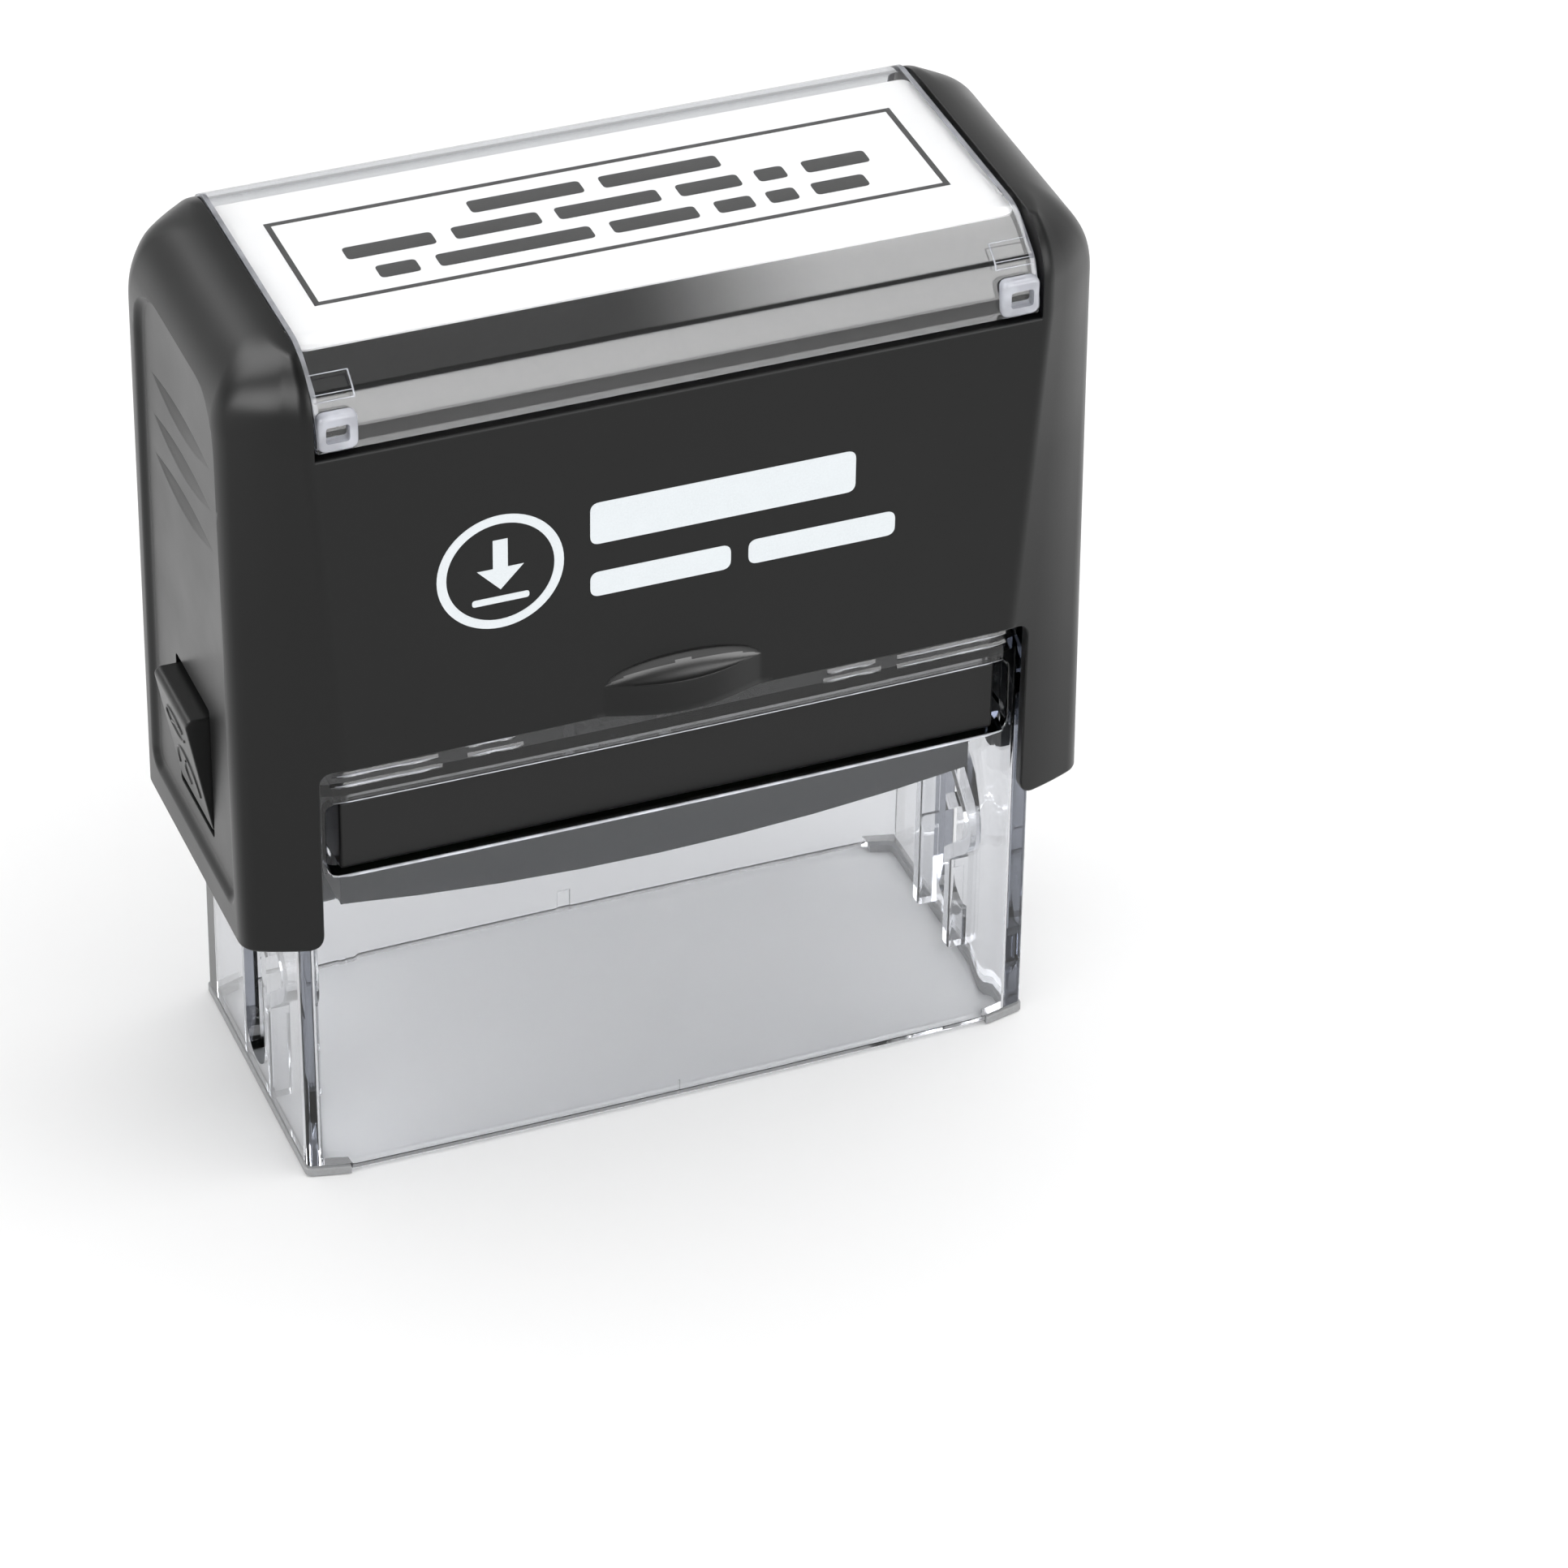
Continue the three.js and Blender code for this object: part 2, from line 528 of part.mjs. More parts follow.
/** A channel that carries the die on its back; its skirts have a bellied lower edge. */
function dieHolder() {
  const { halfLength, halfDepth, top, plate, skirt, end } = HOLDER;
  const belly = new THREE.Shape();
  belly.moveTo(-halfLength, top);
  belly.lineTo(-halfLength, BELLY.ends);
  belly.quadraticCurveTo(0, 2 * BELLY.middle - BELLY.ends, halfLength, BELLY.ends);
  belly.lineTo(halfLength, top);
  const block = prism(belly, -halfDepth, halfDepth, 'y');
  const hollow = box(
    [-halfLength + end, -halfDepth + skirt, -FAR],
    [halfLength - end, halfDepth - skirt, top - plate],
  );
  const lug = prism(roundCorners([
    [-2.6, -CAM.arm - 2.4, 1.6], [2.6, -CAM.arm - 2.4, 1.6], [4.2, 0, 0], [-4.2, 0, 0],
  ]), halfLength - end, halfLength, 'x');
  const bores = barX(AXLE.radius + GAP, halfLength - end - 1, FAR, 0, 0)
    .add(barX(CAM.pin + GAP / 2, halfLength - end - 1, FAR, 0, -CAM.arm));
  const crossRib = [-15, 0, 15].map((x) => box(
    [x - 0.6, -halfDepth + 1, -1.5],
    [x + 0.6, halfDepth - 1, top - 1],
  ));
  const ribbed = crossRib.reduce((all, rib) => all.add(rib), block.subtract(hollow));
  return ribbed.add(atBothEnds(lug)).subtract(atBothEnds(bores));
}

function dieCushion() {
  const { bottom, top, halfLength, halfDepth } = CUSHION;
  return box([-halfLength, -halfDepth, bottom], [halfLength, halfDepth, top]);
}

/** The rubber die: a base sheet with a raised border and three raised lines to print. */
function rubberDie() {
  const { bottom, relief, face, halfLength, halfDepth } = DIE;
  const { line, barHeights } = IMPRINT;
  const base = box([-halfLength, -halfDepth, bottom], [halfLength, halfDepth, relief]);
  const border = (inset, from) => box(
    [-IMPRINT.halfLength + inset, -IMPRINT.halfDepth + inset, from],
    [IMPRINT.halfLength - inset, IMPRINT.halfDepth - inset, face + inset],
  );
  const frame = border(0, relief - 0.2).subtract(border(line, relief));
  const barHalves = [12, 25, 23];
  return barHeights.reduce((all, y, i) => all.add(
    box([-barHalves[i], y - 0.9, relief - 0.2], [barHalves[i], y + 0.9, face]),
  ), base.add(frame));
}

function camPin() {
  return barX(CAM.pin, CAM.innerX, CAM.outerX, 0, AXLE.z - CAM.arm, 20);
}

/** A stepped pin: thick where it runs in the slot and the carrier, thin in the yoke. */
function axlePin() {
  return barX(AXLE.radius, AXLE.innerX, AXLE.shoulderX, 0, AXLE.z)
    .add(barX(AXLE.journal, AXLE.shoulderX - 1, AXLE.endX, 0, AXLE.z));
}

// ---- Assembly --------------------------------------------------------------------------------

const onAxle = (body) => body.translate([0, 0, AXLE.z]);

piece('frame_body', frameBody(), CLEAR);
piece('case_shell', caseShell(), BLACK);
piece('inner_yoke', yoke(), DARK);
piece('spring_seat', springSeat(), DARK);
piece('return_spring', returnSpring(), STEEL);
piece('index_card', indexCard(), CARD_WHITE);
piece('window_cover', windowCover(), CLEAR);
piece('pad_tray', padTray(), BLACK);
piece('ink_felt', inkFelt(), FELT_INK);
piece('die_holder', onAxle(dieHolder()), DARK);
piece('die_cushion', onAxle(dieCushion()), FOAM);
piece('rubber_die', onAxle(rubberDie()), RUBBER);

const ENDS = [['right', (body) => body], ['left', (body) => body.mirror([1, 0, 0])]];
for (const [side, place] of ENDS) {
  piece(`foot_${side}`, place(foot()), FOOT_GREY);
  piece(`axle_pin_${side}`, place(axlePin()), STEEL);
  piece(`cam_pin_${side}`, place(camPin()), STEEL);
  piece(`lock_button_${side}`, place(lockButton()), BLACK);
}

// The origin is under the middle of the whole stamp, and only the front has a thumb bump.
group.position.y = THUMB.reach / 2;

export default group;
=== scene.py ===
"""The looks of a self inking stamp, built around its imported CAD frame.

Shapes are drawn in millimetres about the stamp's own middle plane and put in place, in metres, when
each piece is finished. +X is the stamp's right, -Y its front and +Z up.
"""

import math
from functools import partial
from types import SimpleNamespace as Sizes

import bmesh
import bpy
from mathutils import Matrix, Vector


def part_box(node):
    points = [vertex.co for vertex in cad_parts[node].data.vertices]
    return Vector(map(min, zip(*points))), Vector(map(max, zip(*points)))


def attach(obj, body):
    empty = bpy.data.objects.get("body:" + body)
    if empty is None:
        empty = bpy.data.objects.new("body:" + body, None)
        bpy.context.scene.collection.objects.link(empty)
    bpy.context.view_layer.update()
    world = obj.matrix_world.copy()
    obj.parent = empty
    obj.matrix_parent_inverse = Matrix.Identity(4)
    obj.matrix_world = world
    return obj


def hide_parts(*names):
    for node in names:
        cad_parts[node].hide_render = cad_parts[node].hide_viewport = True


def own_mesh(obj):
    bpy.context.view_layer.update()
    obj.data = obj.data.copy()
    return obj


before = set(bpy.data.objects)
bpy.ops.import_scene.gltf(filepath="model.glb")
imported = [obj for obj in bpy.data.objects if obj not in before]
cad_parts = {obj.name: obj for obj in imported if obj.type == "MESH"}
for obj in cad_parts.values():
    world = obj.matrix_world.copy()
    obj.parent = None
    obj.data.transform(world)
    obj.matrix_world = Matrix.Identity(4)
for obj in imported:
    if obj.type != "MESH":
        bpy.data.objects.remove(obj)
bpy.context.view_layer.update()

MM = 0.001
TAU = 2 * math.pi
FAR = 60.0  # how far a cutter reaches past what it cuts
# The stamp's own middle plane, in the row frame.
MIDDLE_Y = sum(corner.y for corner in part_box("frame_body")) / 2

# ---- Driving dimensions, in millimetres ----

CASE = Sizes(
    half_length=41.75, half_depth=17.9, leg_z=27.4, top_z=90.2, gap_half=34.6, gap_top=47.4, ceiling=86.3,
    line_low=31.1, line_high=35.1, line_round=0.6, facet_bulge=0.5, facet_full=8, facet_least=0.8,
    corner_round=1.7,
    leg_wall=0.9, leg_wall_z=60, wall=1.3, deck_wall=3.5, deck_wall_z=79.5, side_wall=2.05,
)
FRONT = Sizes(drop_low=3.1, drop_high=5.5, curve=84.6, reach=6.0)
BACK = Sizes(drop_low=2.8, drop_high=3.7, curve=86.3, reach=7.4)
SHOULDER = Sizes(start=81.3, reach=9.35, power=2.24)
WINDOW = Sizes(
    half_length=34.1, half_depth=17.7, thickness=0.9, bottom=81.7, top=89.7,
    back_reach=3.6, back_curve=86.1,
    folds=((-17.7, 83.3, 1.2), (-16.35, 86.7, 0.7), (-12.1, 89.7, 1.8)),  # (y, z, rounding) up its front
)
CLIP = Sizes(inner=3.8, outer=0.1, top=85.5, front=-18.05, back=-16.7, rim=(0.85, 0.95, 0.65, 1.05))
POCKET = Sizes(width=3.6, bottom=86.2, step=86.75, top=87.9)
DECK = Sizes(top=88.3, ledge=81.1, half_length=34.4, back_slope=(16.9, 84.5))
CARD = Sizes(half_length=33.9, front=-12.0, back=13.3, z=88.42, thickness=0.2)
PANEL = Sizes(depth=0.6, half_width=11.6, bottom=31.6, top=84.0, corner=5.0, ramp=1.2)
GROOVE = Sizes(half_width=8.6, height=2.3, depth=0.8, heights=(76.2, 71.8, 67.6))
THUMB = Sizes(half_width=7.7, reach=1.7, rim=50.9, arch=2.2, arch_half=7.5, dip=0.4)
FRAME = Sizes(
    half_length=36.5, half_depth=16.7, bow=0.3, facet=32.3, corner_drop=1.3, wall=1.6, draft=0.015,
    bottom=0.4, front_top=34.5, top=46.8,
)
FOOT = Sizes(height=0.85, recess=1.15, start=32.5, proud=0.15, width=2.0)
PAD_DECK = Sizes(bottom=42.7, top=44.0, mouth_half=33.6, mouth_corner=1.2)
RAIL = Sizes(inner=32.2, bottom=33.0, top=34.4, half_depth=12.5)
CUP = Sizes(inner=5.6, outer=6.8, top=46.6)
AXLE_Z = 30.0
STROKE = 24.5
SLOT = Sizes(half=2.8, bottom=2.7, top=32.8)
RIB = Sizes(inner=33.05, width=1.7, bottom=1.3)
CAM = Sizes(arm=6.0, pin=1.3, floor=34.3, wall=1.4, clearance=0.3)
TRAY = Sizes(
    half_length=32.3, front=-15.2, back=13.6, bottom=34.7, top=42.2, fascia=1.3, side=1.0, back_wall=1.4,
    roof=1.6, back_bottom=35.8,
)
BUTTON = Sizes(
    bottom=34.1, top=47.0, half=4.8, ledge=43.45, flush=41.15, trunnion=0.9, pivot=(38.6, 35.0), reach=6.4,
    below=0.6, above=0.9, edge=((0, 0.25), (0.07, 0.07), (0.25, 0)),
)
SPRING = Sizes(bottom=44.3, top=82.0, radius=4.6, wire=1.1, turns=9)
GAP = 0.3
PICTOGRAM = Sizes(x=-17.5, z=65.8, outer=6.0, inner=5.1)

# ---- Small geometry helpers ----


def lerp(a, b, t):
    return a + (b - a) * t


def clamp(value, low=0.0, high=1.0):
    return max(low, min(high, value))


def smoothstep(value, low, high):
    t = clamp((value - low) / (high - low))
    return t * t * (3 - 2 * t)


def span(start, end, steps):
    return [lerp(start, end, i / steps) for i in range(steps + 1)]


def eased(low, high, steps):
    """Places from low to high with an inset at each, from steps of (distance from the end, inset)."""
    start = [(low + away, inset) for away, inset in steps]
    return start + [(high - away, inset) for away, inset in reversed(steps)]


def read_off(points, at, otherwise):
    """The second value of a line through such points where its first value is at."""
    for (u0, v0), (u1, v1) in zip(points, points[1:]):
        if u0 <= at < u1:
            return lerp(v0, v1, (at - u0) / (u1 - u0))
    return otherwise


def round_corners(corners, steps=8):
    """An outline of (x, y, setback) corners, each rounded from setback before it to setback after it."""
    outline = []
    for i, (x, y, setback) in enumerate(corners):
        corner = Vector((x, y))
        if not setback:
            outline.append((x, y))
            continue
        ends = []
        for other in (corners[i - 1], corners[(i + 1) % len(corners)]):
            step = Vector(other[:2]) - corner
            ends.append(corner + step.normalized() * min(setback, step.length * 0.49))
        for t in span(0, 1, steps):
            p = ends[0] * (1 - t) ** 2 + corner * 2 * t * (1 - t) + ends[1] * t * t
            outline.append((p.x, p.y))
    return outline


def mirrored(right):
    """The corners of a shape that is the same on both sides of x = 0, from its right half."""
    return [*right, *[(-x, y, r) for x, y, r in reversed(right)]]


def rectangle(x0, y0, x1, y1, corner=0.0, steps=6):
    return round_corners([(x1, y0, corner), (x1, y1, corner), (x0, y1, corner), (x0, y0, corner)], steps)


def circle(radius, sides=48, x=0.0, y=0.0):
    turns = [TAU * i / sides for i in range(sides)]
    return [(x + radius * math.cos(a), y + radius * math.sin(a)) for a in turns]


def divided(outline, longest):
    """The same outline with no side longer than that."""
    points = []
    for (x0, y0), (x1, y1) in zip(outline, outline[1:] + outline[:1]):
        steps = max(1, math.ceil(math.hypot(x1 - x0, y1 - y0) / longest))
        points += [(lerp(x0, x1, i / steps), lerp(y0, y1, i / steps)) for i in range(steps)]
    return points


def linked(name, data):
    """A new object in the scene."""
    obj = bpy.data.objects.new(name, data)
    bpy.context.scene.collection.objects.link(obj)
    return obj


def new_object(name, verts, faces):
    mesh = bpy.data.meshes.new(name)
    mesh.from_pydata(verts, [], faces)
    form = bmesh.new()
    form.from_mesh(mesh)
    bmesh.ops.recalc_face_normals(form, faces=form.faces)
    form.to_mesh(mesh)
    form.free()
    return linked(name, mesh)


def loft(rings):
    """A closed skin over rings that all have as many points."""
    count = len(rings[0])
    faces = [tuple(reversed(range(count)))]
    for level in range(len(rings) - 1):
        a, b = level * count, (level + 1) * count
        faces += [(a + i, a + (i + 1) % count, b + (i + 1) % count, b + i) for i in range(count)]
    last = (len(rings) - 1) * count
    faces.append(tuple(range(last, last + count)))
    return new_object("part", [p for ring in rings for p in ring], faces)


def placed(outline, at, along):
    """A flat outline as a ring at a place along z, y or x."""
    if along == "z":
        return [(u, v, at) for u, v in outline]
    if along == "y":
        return [(u, at, v) for u, v in outline]
    return [(at, u, v) for u, v in outline]


def prism(outline, start, end, along="z"):
    return loft([placed(outline, start, along), placed(outline, end, along)])


def box(low, high):
    return prism(rectangle(*low[:2], *high[:2]), low[2], high[2])


def chamfered(radius, start, end, along, edge):
    """A round pin with a small chamfer at each end."""
    steps = eased(start, end, ((0, edge), (edge, 0)))
    return loft([placed(circle(radius - inset, 40), at, along) for at, inset in steps])


def moved(obj, x=0.0, y=0.0, z=0.0):
    obj.data.transform(Matrix.Translation((x, y, z)))
    return obj


def to_left(obj):
    """Mirrors a shape from one end of the stamp to the other."""
    obj.data.transform(Matrix.Scale(-1, 4, (1, 0, 0)))
    obj.data.flip_normals()
    return obj


def mirror_copy(obj):
    return to_left(linked(obj.name, obj.data.copy()))


def both_ends(make, *args):
    right = make(*args)
    return [right, mirror_copy(right)]


def bake(obj):
    """Applies the object's modifiers."""
    graph = bpy.context.evaluated_depsgraph_get()
    mesh = bpy.data.meshes.new_from_object(obj.evaluated_get(graph))
    obj.modifiers.clear()
    old = obj.data
    obj.data = mesh
    bpy.data.meshes.remove(old)


def combine(operation, obj, *tools):
    """Joins tools to obj, cuts them from it, or keeps what they share with it."""
    for tool in tools:
        modifier = obj.modifiers.new("combine", "BOOLEAN")
        modifier.operation = operation
        modifier.solver = "MANIFOLD"
        modifier.object = tool
    bake(obj)
    for tool in tools:
        bpy.data.objects.remove(tool)
    return obj


join = partial(combine, "UNION")
cut = partial(combine, "DIFFERENCE")
common = partial(combine, "INTERSECT")


def bevelled(obj, width, segments=3, angle=30):
    modifier = obj.modifiers.new("edges", "BEVEL")
    modifier.width = width
    modifier.segments = segments
    modifier.limit_method = "ANGLE"
    modifier.angle_limit = math.radians(angle)
    bake(obj)
    return obj


def across(heading, point):
    """A direction square to a tube's heading, or nearly so."""
    side = heading.cross(Vector((1, 0, 0)))
    return side.normalized() if side.length > 0.1 else Vector((0, 1, 0))


def tube(path, radius, sides=10, side_at=across):
    """A closed tube along an open path, whose rings start in the direction side_at(heading, point)."""
    rings = []
    for i, point in enumerate(path):
        before, after = path[max(i - 1, 0)], path[min(i + 1, len(path) - 1)]
        heading = (Vector(after) - Vector(before)).normalized()
        side = side_at(heading, point)
        other = heading.cross(side).normalized()
        rings.append([tuple(Vector(point) + side * u + other * v) for u, v in circle(radius, sides)])
    return loft(rings)


def cad_box(node):
    """The middle and the half size of a CAD node's box, in this script's millimetres."""
    low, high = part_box(node)
    return (low + high) / 2 / MM - Vector((0, MIDDLE_Y / MM, 0)), (high - low) / 2 / MM


def finish_piece(obj, name, body, material, replaces=(), smooth=32, weighted=True):
    """Names a piece, puts it in the row frame and makes it ride on its body."""
    form = bmesh.new()
    form.from_mesh(obj.data)
    bmesh.ops.remove_doubles(form, verts=form.verts, dist=0.002)
    bmesh.ops.dissolve_degenerate(form, edges=form.edges, dist=0.002)
    form.to_mesh(obj.data)
    form.free()
    obj.data.transform(Matrix.Translation((0, MIDDLE_Y, 0)) @ Matrix.Scale(MM, 4))
    obj.data.polygons.foreach_set("use_smooth", [True] * len(obj.data.polygons))
    obj.data.set_sharp_from_angle(angle=math.radians(smooth))
    obj.name = name
    obj.data.name = name
    obj.data.materials.clear()
    obj.data.materials.append(material)
    if weighted:
        modifier = obj.modifiers.new("flat faces stay flat", "WEIGHTED_NORMAL")
        modifier.keep_sharp = True
    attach(obj, body)
    if replaces:
        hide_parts(*replaces)
    return obj


# ---- Materials ----


class Nodes:
    """A short way to write the nodes of a material or of the world."""

    def __init__(self, owner, output):
        owner.use_nodes = True
        self.owner = owner
        self.tree = owner.node_tree
        self.tree.nodes.clear()
        self.output = self.add(output)

    def add(self, kind, inputs=None, **settings):
        node = self.tree.nodes.new(kind)
        for key, value in settings.items():
            setattr(node, key, value)
        for key, value in (inputs or {}).items():
            self.set(node.inputs[key], value)
        return node

    def set(self, socket, value):
        if isinstance(value, bpy.types.NodeSocket):
            self.tree.links.new(value, socket)
        else:
            socket.default_value = value

    def grain(self, scale, detail=2.0, roughness=0.5):
        """Noise in the object's own space, at so many features per metre."""
        place = self.add("ShaderNodeTexCoord").outputs["Object"]
        inputs = {"Vector": place, "Scale": scale, "Detail": detail, "Roughness": roughness}
        return self.add("ShaderNodeTexNoise", inputs).outputs["Fac"]

    def ranged(self, value, low, high, start=0.0, end=1.0, kind="LINEAR"):
        """low where the value is at its start and high where it is at its end."""
        inputs = {"Value": value, "From Min": start, "From Max": end, "To Min": low, "To Max": high}
        return self.add("ShaderNodeMapRange", inputs, interpolation_type=kind).outputs["Result"]

    def math(self, operation, *values):
        return self.add("ShaderNodeMath", dict(enumerate(values)), operation=operation).outputs[0]

    def mixed(self, factor, a, b):
        return self.add("ShaderNodeMix", {0: factor, 6: a, 7: b}, data_type="RGBA").outputs[2]

    def mixed_shaders(self, factor, a, b):
        return self.add("ShaderNodeMixShader", {0: factor, 1: a, 2: b}).outputs["Shader"]

    def bump(self, height, strength, distance, normal=None):
        inputs = {"Height": height, "Strength": strength, "Distance": distance}
        if normal is not None:
            inputs["Normal"] = normal
        return self.add("ShaderNodeBump", inputs).outputs["Normal"]

    def principled(self, inputs):
        return self.add("ShaderNodeBsdfPrincipled", inputs).outputs["BSDF"]

    def show(self, shader, volume=None):
        self.set(self.output.inputs["Surface"], shader)
        if volume is not None:
            self.set(self.output.inputs["Volume"], volume)
        return self.owner


def material_nodes(name):
    return Nodes(bpy.data.materials.new(name), "ShaderNodeOutputMaterial")


def grey(value, tint=(1.0, 1.0, 1.0)):
    return (value * tint[0], value * tint[1], value * tint[2], 1.0)


def moulded(name, colour, roughness, gloss, grain_depth=0.000012):
    """Moulded plastic: a fine spark-eroded grain, slow patches in its gloss, and a painted highlight that
    makes its sharp edges slightly paler.
    """
    n = material_nodes(name)
    edges = n.add("ShaderNodeNewGeometry").outputs["Pointiness"]
    # The paler colour on sharp edges is a painted highlight.
    pale = [c * 1.6 + 0.006 for c in colour[:3]] + [1.0]
    rounded = n.add("ShaderNodeBevel", {"Radius": 0.00018}, samples=4).outputs["Normal"]
    grazing = n.add("ShaderNodeLayerWeight", {"Blend": 0.5}).outputs["Facing"]
    return n.show(n.principled({
        "Base Color": n.mixed(n.ranged(edges, 0.0, 0.5, 0.53, 0.62), colour, pale),
        "Roughness": n.ranged(n.grain(90.0, 3.0), roughness - 0.03, roughness + 0.04, 0.3, 0.7),
        "Specular IOR Level": n.ranged(grazing, gloss, gloss + 0.4, 0.3, 0.75),
        "Normal": n.bump(n.grain(5200.0, 2.0, 0.6), 0.35, grain_depth, rounded),
    }))


def clear(name, tint, absorption, ripple, back=(1.0, 1.0, 1.0, 1.0)):
    """Clear moulded plastic: it refracts, and takes on its tint over the length that light goes through it.

    Its back edge can be given a greyer colour, a painted shade.
    """
    n = material_nodes(name)
    place = n.add("ShaderNodeSeparateXYZ", {"Vector": n.add("ShaderNodeTexCoord").outputs["Object"]})
    # A greyer colour towards the back edge: a painted shade.
    painted_back_shade = n.ranged(place.outputs["Y"], 0.0, 1.0, MIDDLE_Y + 0.0135, MIDDLE_Y + 0.0142)
    glass = n.principled({
        "Base Color": n.mixed(painted_back_shade, (1.0, 1.0, 1.0, 1.0), back),
        "Roughness": n.ranged(n.grain(900.0), 0.015, 0.033, 0.3, 0.7),
        "IOR": 1.49,
        "Transmission Weight": 1.0,
        "Normal": n.bump(n.grain(70.0, 1.5), ripple, 0.0002),
    })
    let_through = n.add("ShaderNodeBsdfTransparent", {"Color": (0.985, 0.989, 0.975, 1.0)}).outputs["BSDF"]
    in_shadow = n.add("ShaderNodeLightPath").outputs["Is Shadow Ray"]
    volume = n.add("ShaderNodeVolumeAbsorption", {"Color": (*tint, 1.0), "Density": absorption})
    return n.show(n.mixed_shaders(in_shadow, glass, let_through), volume.outputs["Volume"])


def painted_edge_light(name, low, high, through):
    """The rounded edges of clear plastic, which gather the light that runs along inside it: a painted
    highlight, in a pale colour.
    """
    n = material_nodes(name)
    bluish = (0.96, 0.98, 1.06)
    patches = n.ranged(n.grain(420.0), 0.0, 1.0, 0.35, 0.65)
    return n.show(n.principled({
        "Base Color": n.mixed(patches, grey(low, bluish), grey(high, bluish)),
        "Roughness": 0.22,
        "IOR": 1.49,
        "Transmission Weight": through,
        "Normal": n.bump(n.grain(240.0), 0.1, 0.0001),
    }))


def steel(name, colour, roughness, scale=2500.0):
    """Drawn or turned steel: fine scratches and slightly uneven gloss."""
    n = material_nodes(name)
    scratches = n.grain(scale, 4.0, 0.7)
    return n.show(n.principled({
        "Base Color": n.mixed(n.grain(160.0), colour, [c * 0.8 for c in colour[:3]] + [1.0]),
        "Metallic": 1.0,
        "Roughness": n.ranged(scratches, roughness - 0.06, roughness + 0.1, 0.3, 0.7),
        "Normal": n.bump(scratches, 0.25, 0.00001),
    }))


def fibrous(name, colour, dark, scale, depth, roughness=0.9, sheen=0.0):
    """Card, felt, foam or rubber: a matt surface with fibres or pores."""
    n = material_nodes(name)
    fibres = n.grain(scale, 5.0, 0.7)
    clouds = n.ranged(n.grain(scale / 14.0), 0.0, 0.35, 0.4, 0.7)
    shade = n.mixed(n.ranged(fibres, 0.0, 1.0, 0.35, 0.7), dark, colour)
    return n.show(n.principled({
        "Base Color": n.mixed(clouds, shade, colour),
        "Roughness": roughness,
        "Sheen Weight": sheen,
        "Normal": n.bump(fibres, 0.6, depth),
    }))


COOL = (0.94, 1.0, 1.08)
GREENISH = (0.97, 1.0, 0.99)
PAPER = (0.995, 0.995, 1.0)
PRINT = (0.95, 1.0, 1.03)
SPONGE = (1.05, 1.0, 0.9)
CASE_BLACK = moulded("case_black", grey(0.005, GREENISH), 0.36, 0.24)
DECK_BLACK = moulded("deck_black", grey(0.004), 0.3, 0.01)
# The scoop of the thumb rest: a higher gloss, and a lighter, warmer colour that is a painted highlight.
THUMB_GLOSS_AND_GLOW = moulded("thumb_gloss_and_glow", grey(0.007, (1.03, 1.0, 0.98)), 0.3, 0.62)
BUTTON_BLACK = moulded("button_black", grey(0.006, GREENISH), 0.38, 0.28)
TRAY_BLACK = moulded("tray_black", grey(0.005), 0.33, 0.28)
INNER_BLACK = moulded("inner_black", grey(0.036, COOL), 0.55, 0.06, 0.000002)
ROOF_BLACK = moulded("roof_black", grey(0.008, COOL), 0.55, 0.04, 0.000002)
CLEAR = clear("clear_plastic", (0.55, 0.57, 0.62), 190.0, 0.012)
# The window's back edge is painted greyer: a painted shade.
CLEAR_WINDOW = clear("clear_window", (0.66, 0.68, 0.74), 60.0, 0.008, grey(0.70, (0.985, 1.0, 1.02)))
# Pale colours that stand for light in clear edges: painted highlights.
EDGE_HIGHLIGHT_PAINT = painted_edge_light("clear_edge", 0.62, 0.95, 0.3)
CLIP_HIGHLIGHT_PAINT = painted_edge_light("clear_clip", 0.7, 0.95, 0.5)
RIM_HIGHLIGHT_PAINT = painted_edge_light("clear_rim", 0.28, 0.42, 0.2)
FOOT_GREY = fibrous("foot_grey", grey(0.34, (0.98, 1.0, 1.03)), grey(0.28), 2400.0, 0.00001, 0.6)
CARD_WHITE = fibrous("card_white", grey(0.86, PAPER), grey(0.83, PAPER), 3000.0, 0.000004)
CARD_PRINT = fibrous("card_print", grey(0.004), grey(0.007), 4000.0, 0.000002, 0.55)
FRONT_PRINT = fibrous("front_print", grey(0.80, PRINT), grey(0.74, PRINT), 5200.0, 0.000003, 0.5)
INK_FELT = fibrous("ink_felt", grey(0.012, (0.9, 0.9, 1.1)), grey(0.004), 2600.0, 0.00015, 0.8, 0.3)
FOAM = fibrous("foam", grey(0.42, SPONGE), grey(0.22, SPONGE), 3200.0, 0.00012)
RUBBER = fibrous("rubber", grey(0.055), grey(0.035), 1500.0, 0.00002, 0.7)
SPRING_STEEL = steel("spring_steel", (0.58, 0.59, 0.61, 1.0), 0.28)
PIN_STEEL = steel("pin_steel", (0.62, 0.63, 0.65, 1.0), 0.22, 1800.0)

# ---- The case ----


def fall_away(z, start, power=2.0):
    """How far a rounded shoulder has fallen away at a height, from 0 where it starts to 1 at the top."""
    t = clamp((z - start) / (CASE.top_z - start), 0, 0.9995)
    return 1 - (1 - t**power) ** (1 / power)


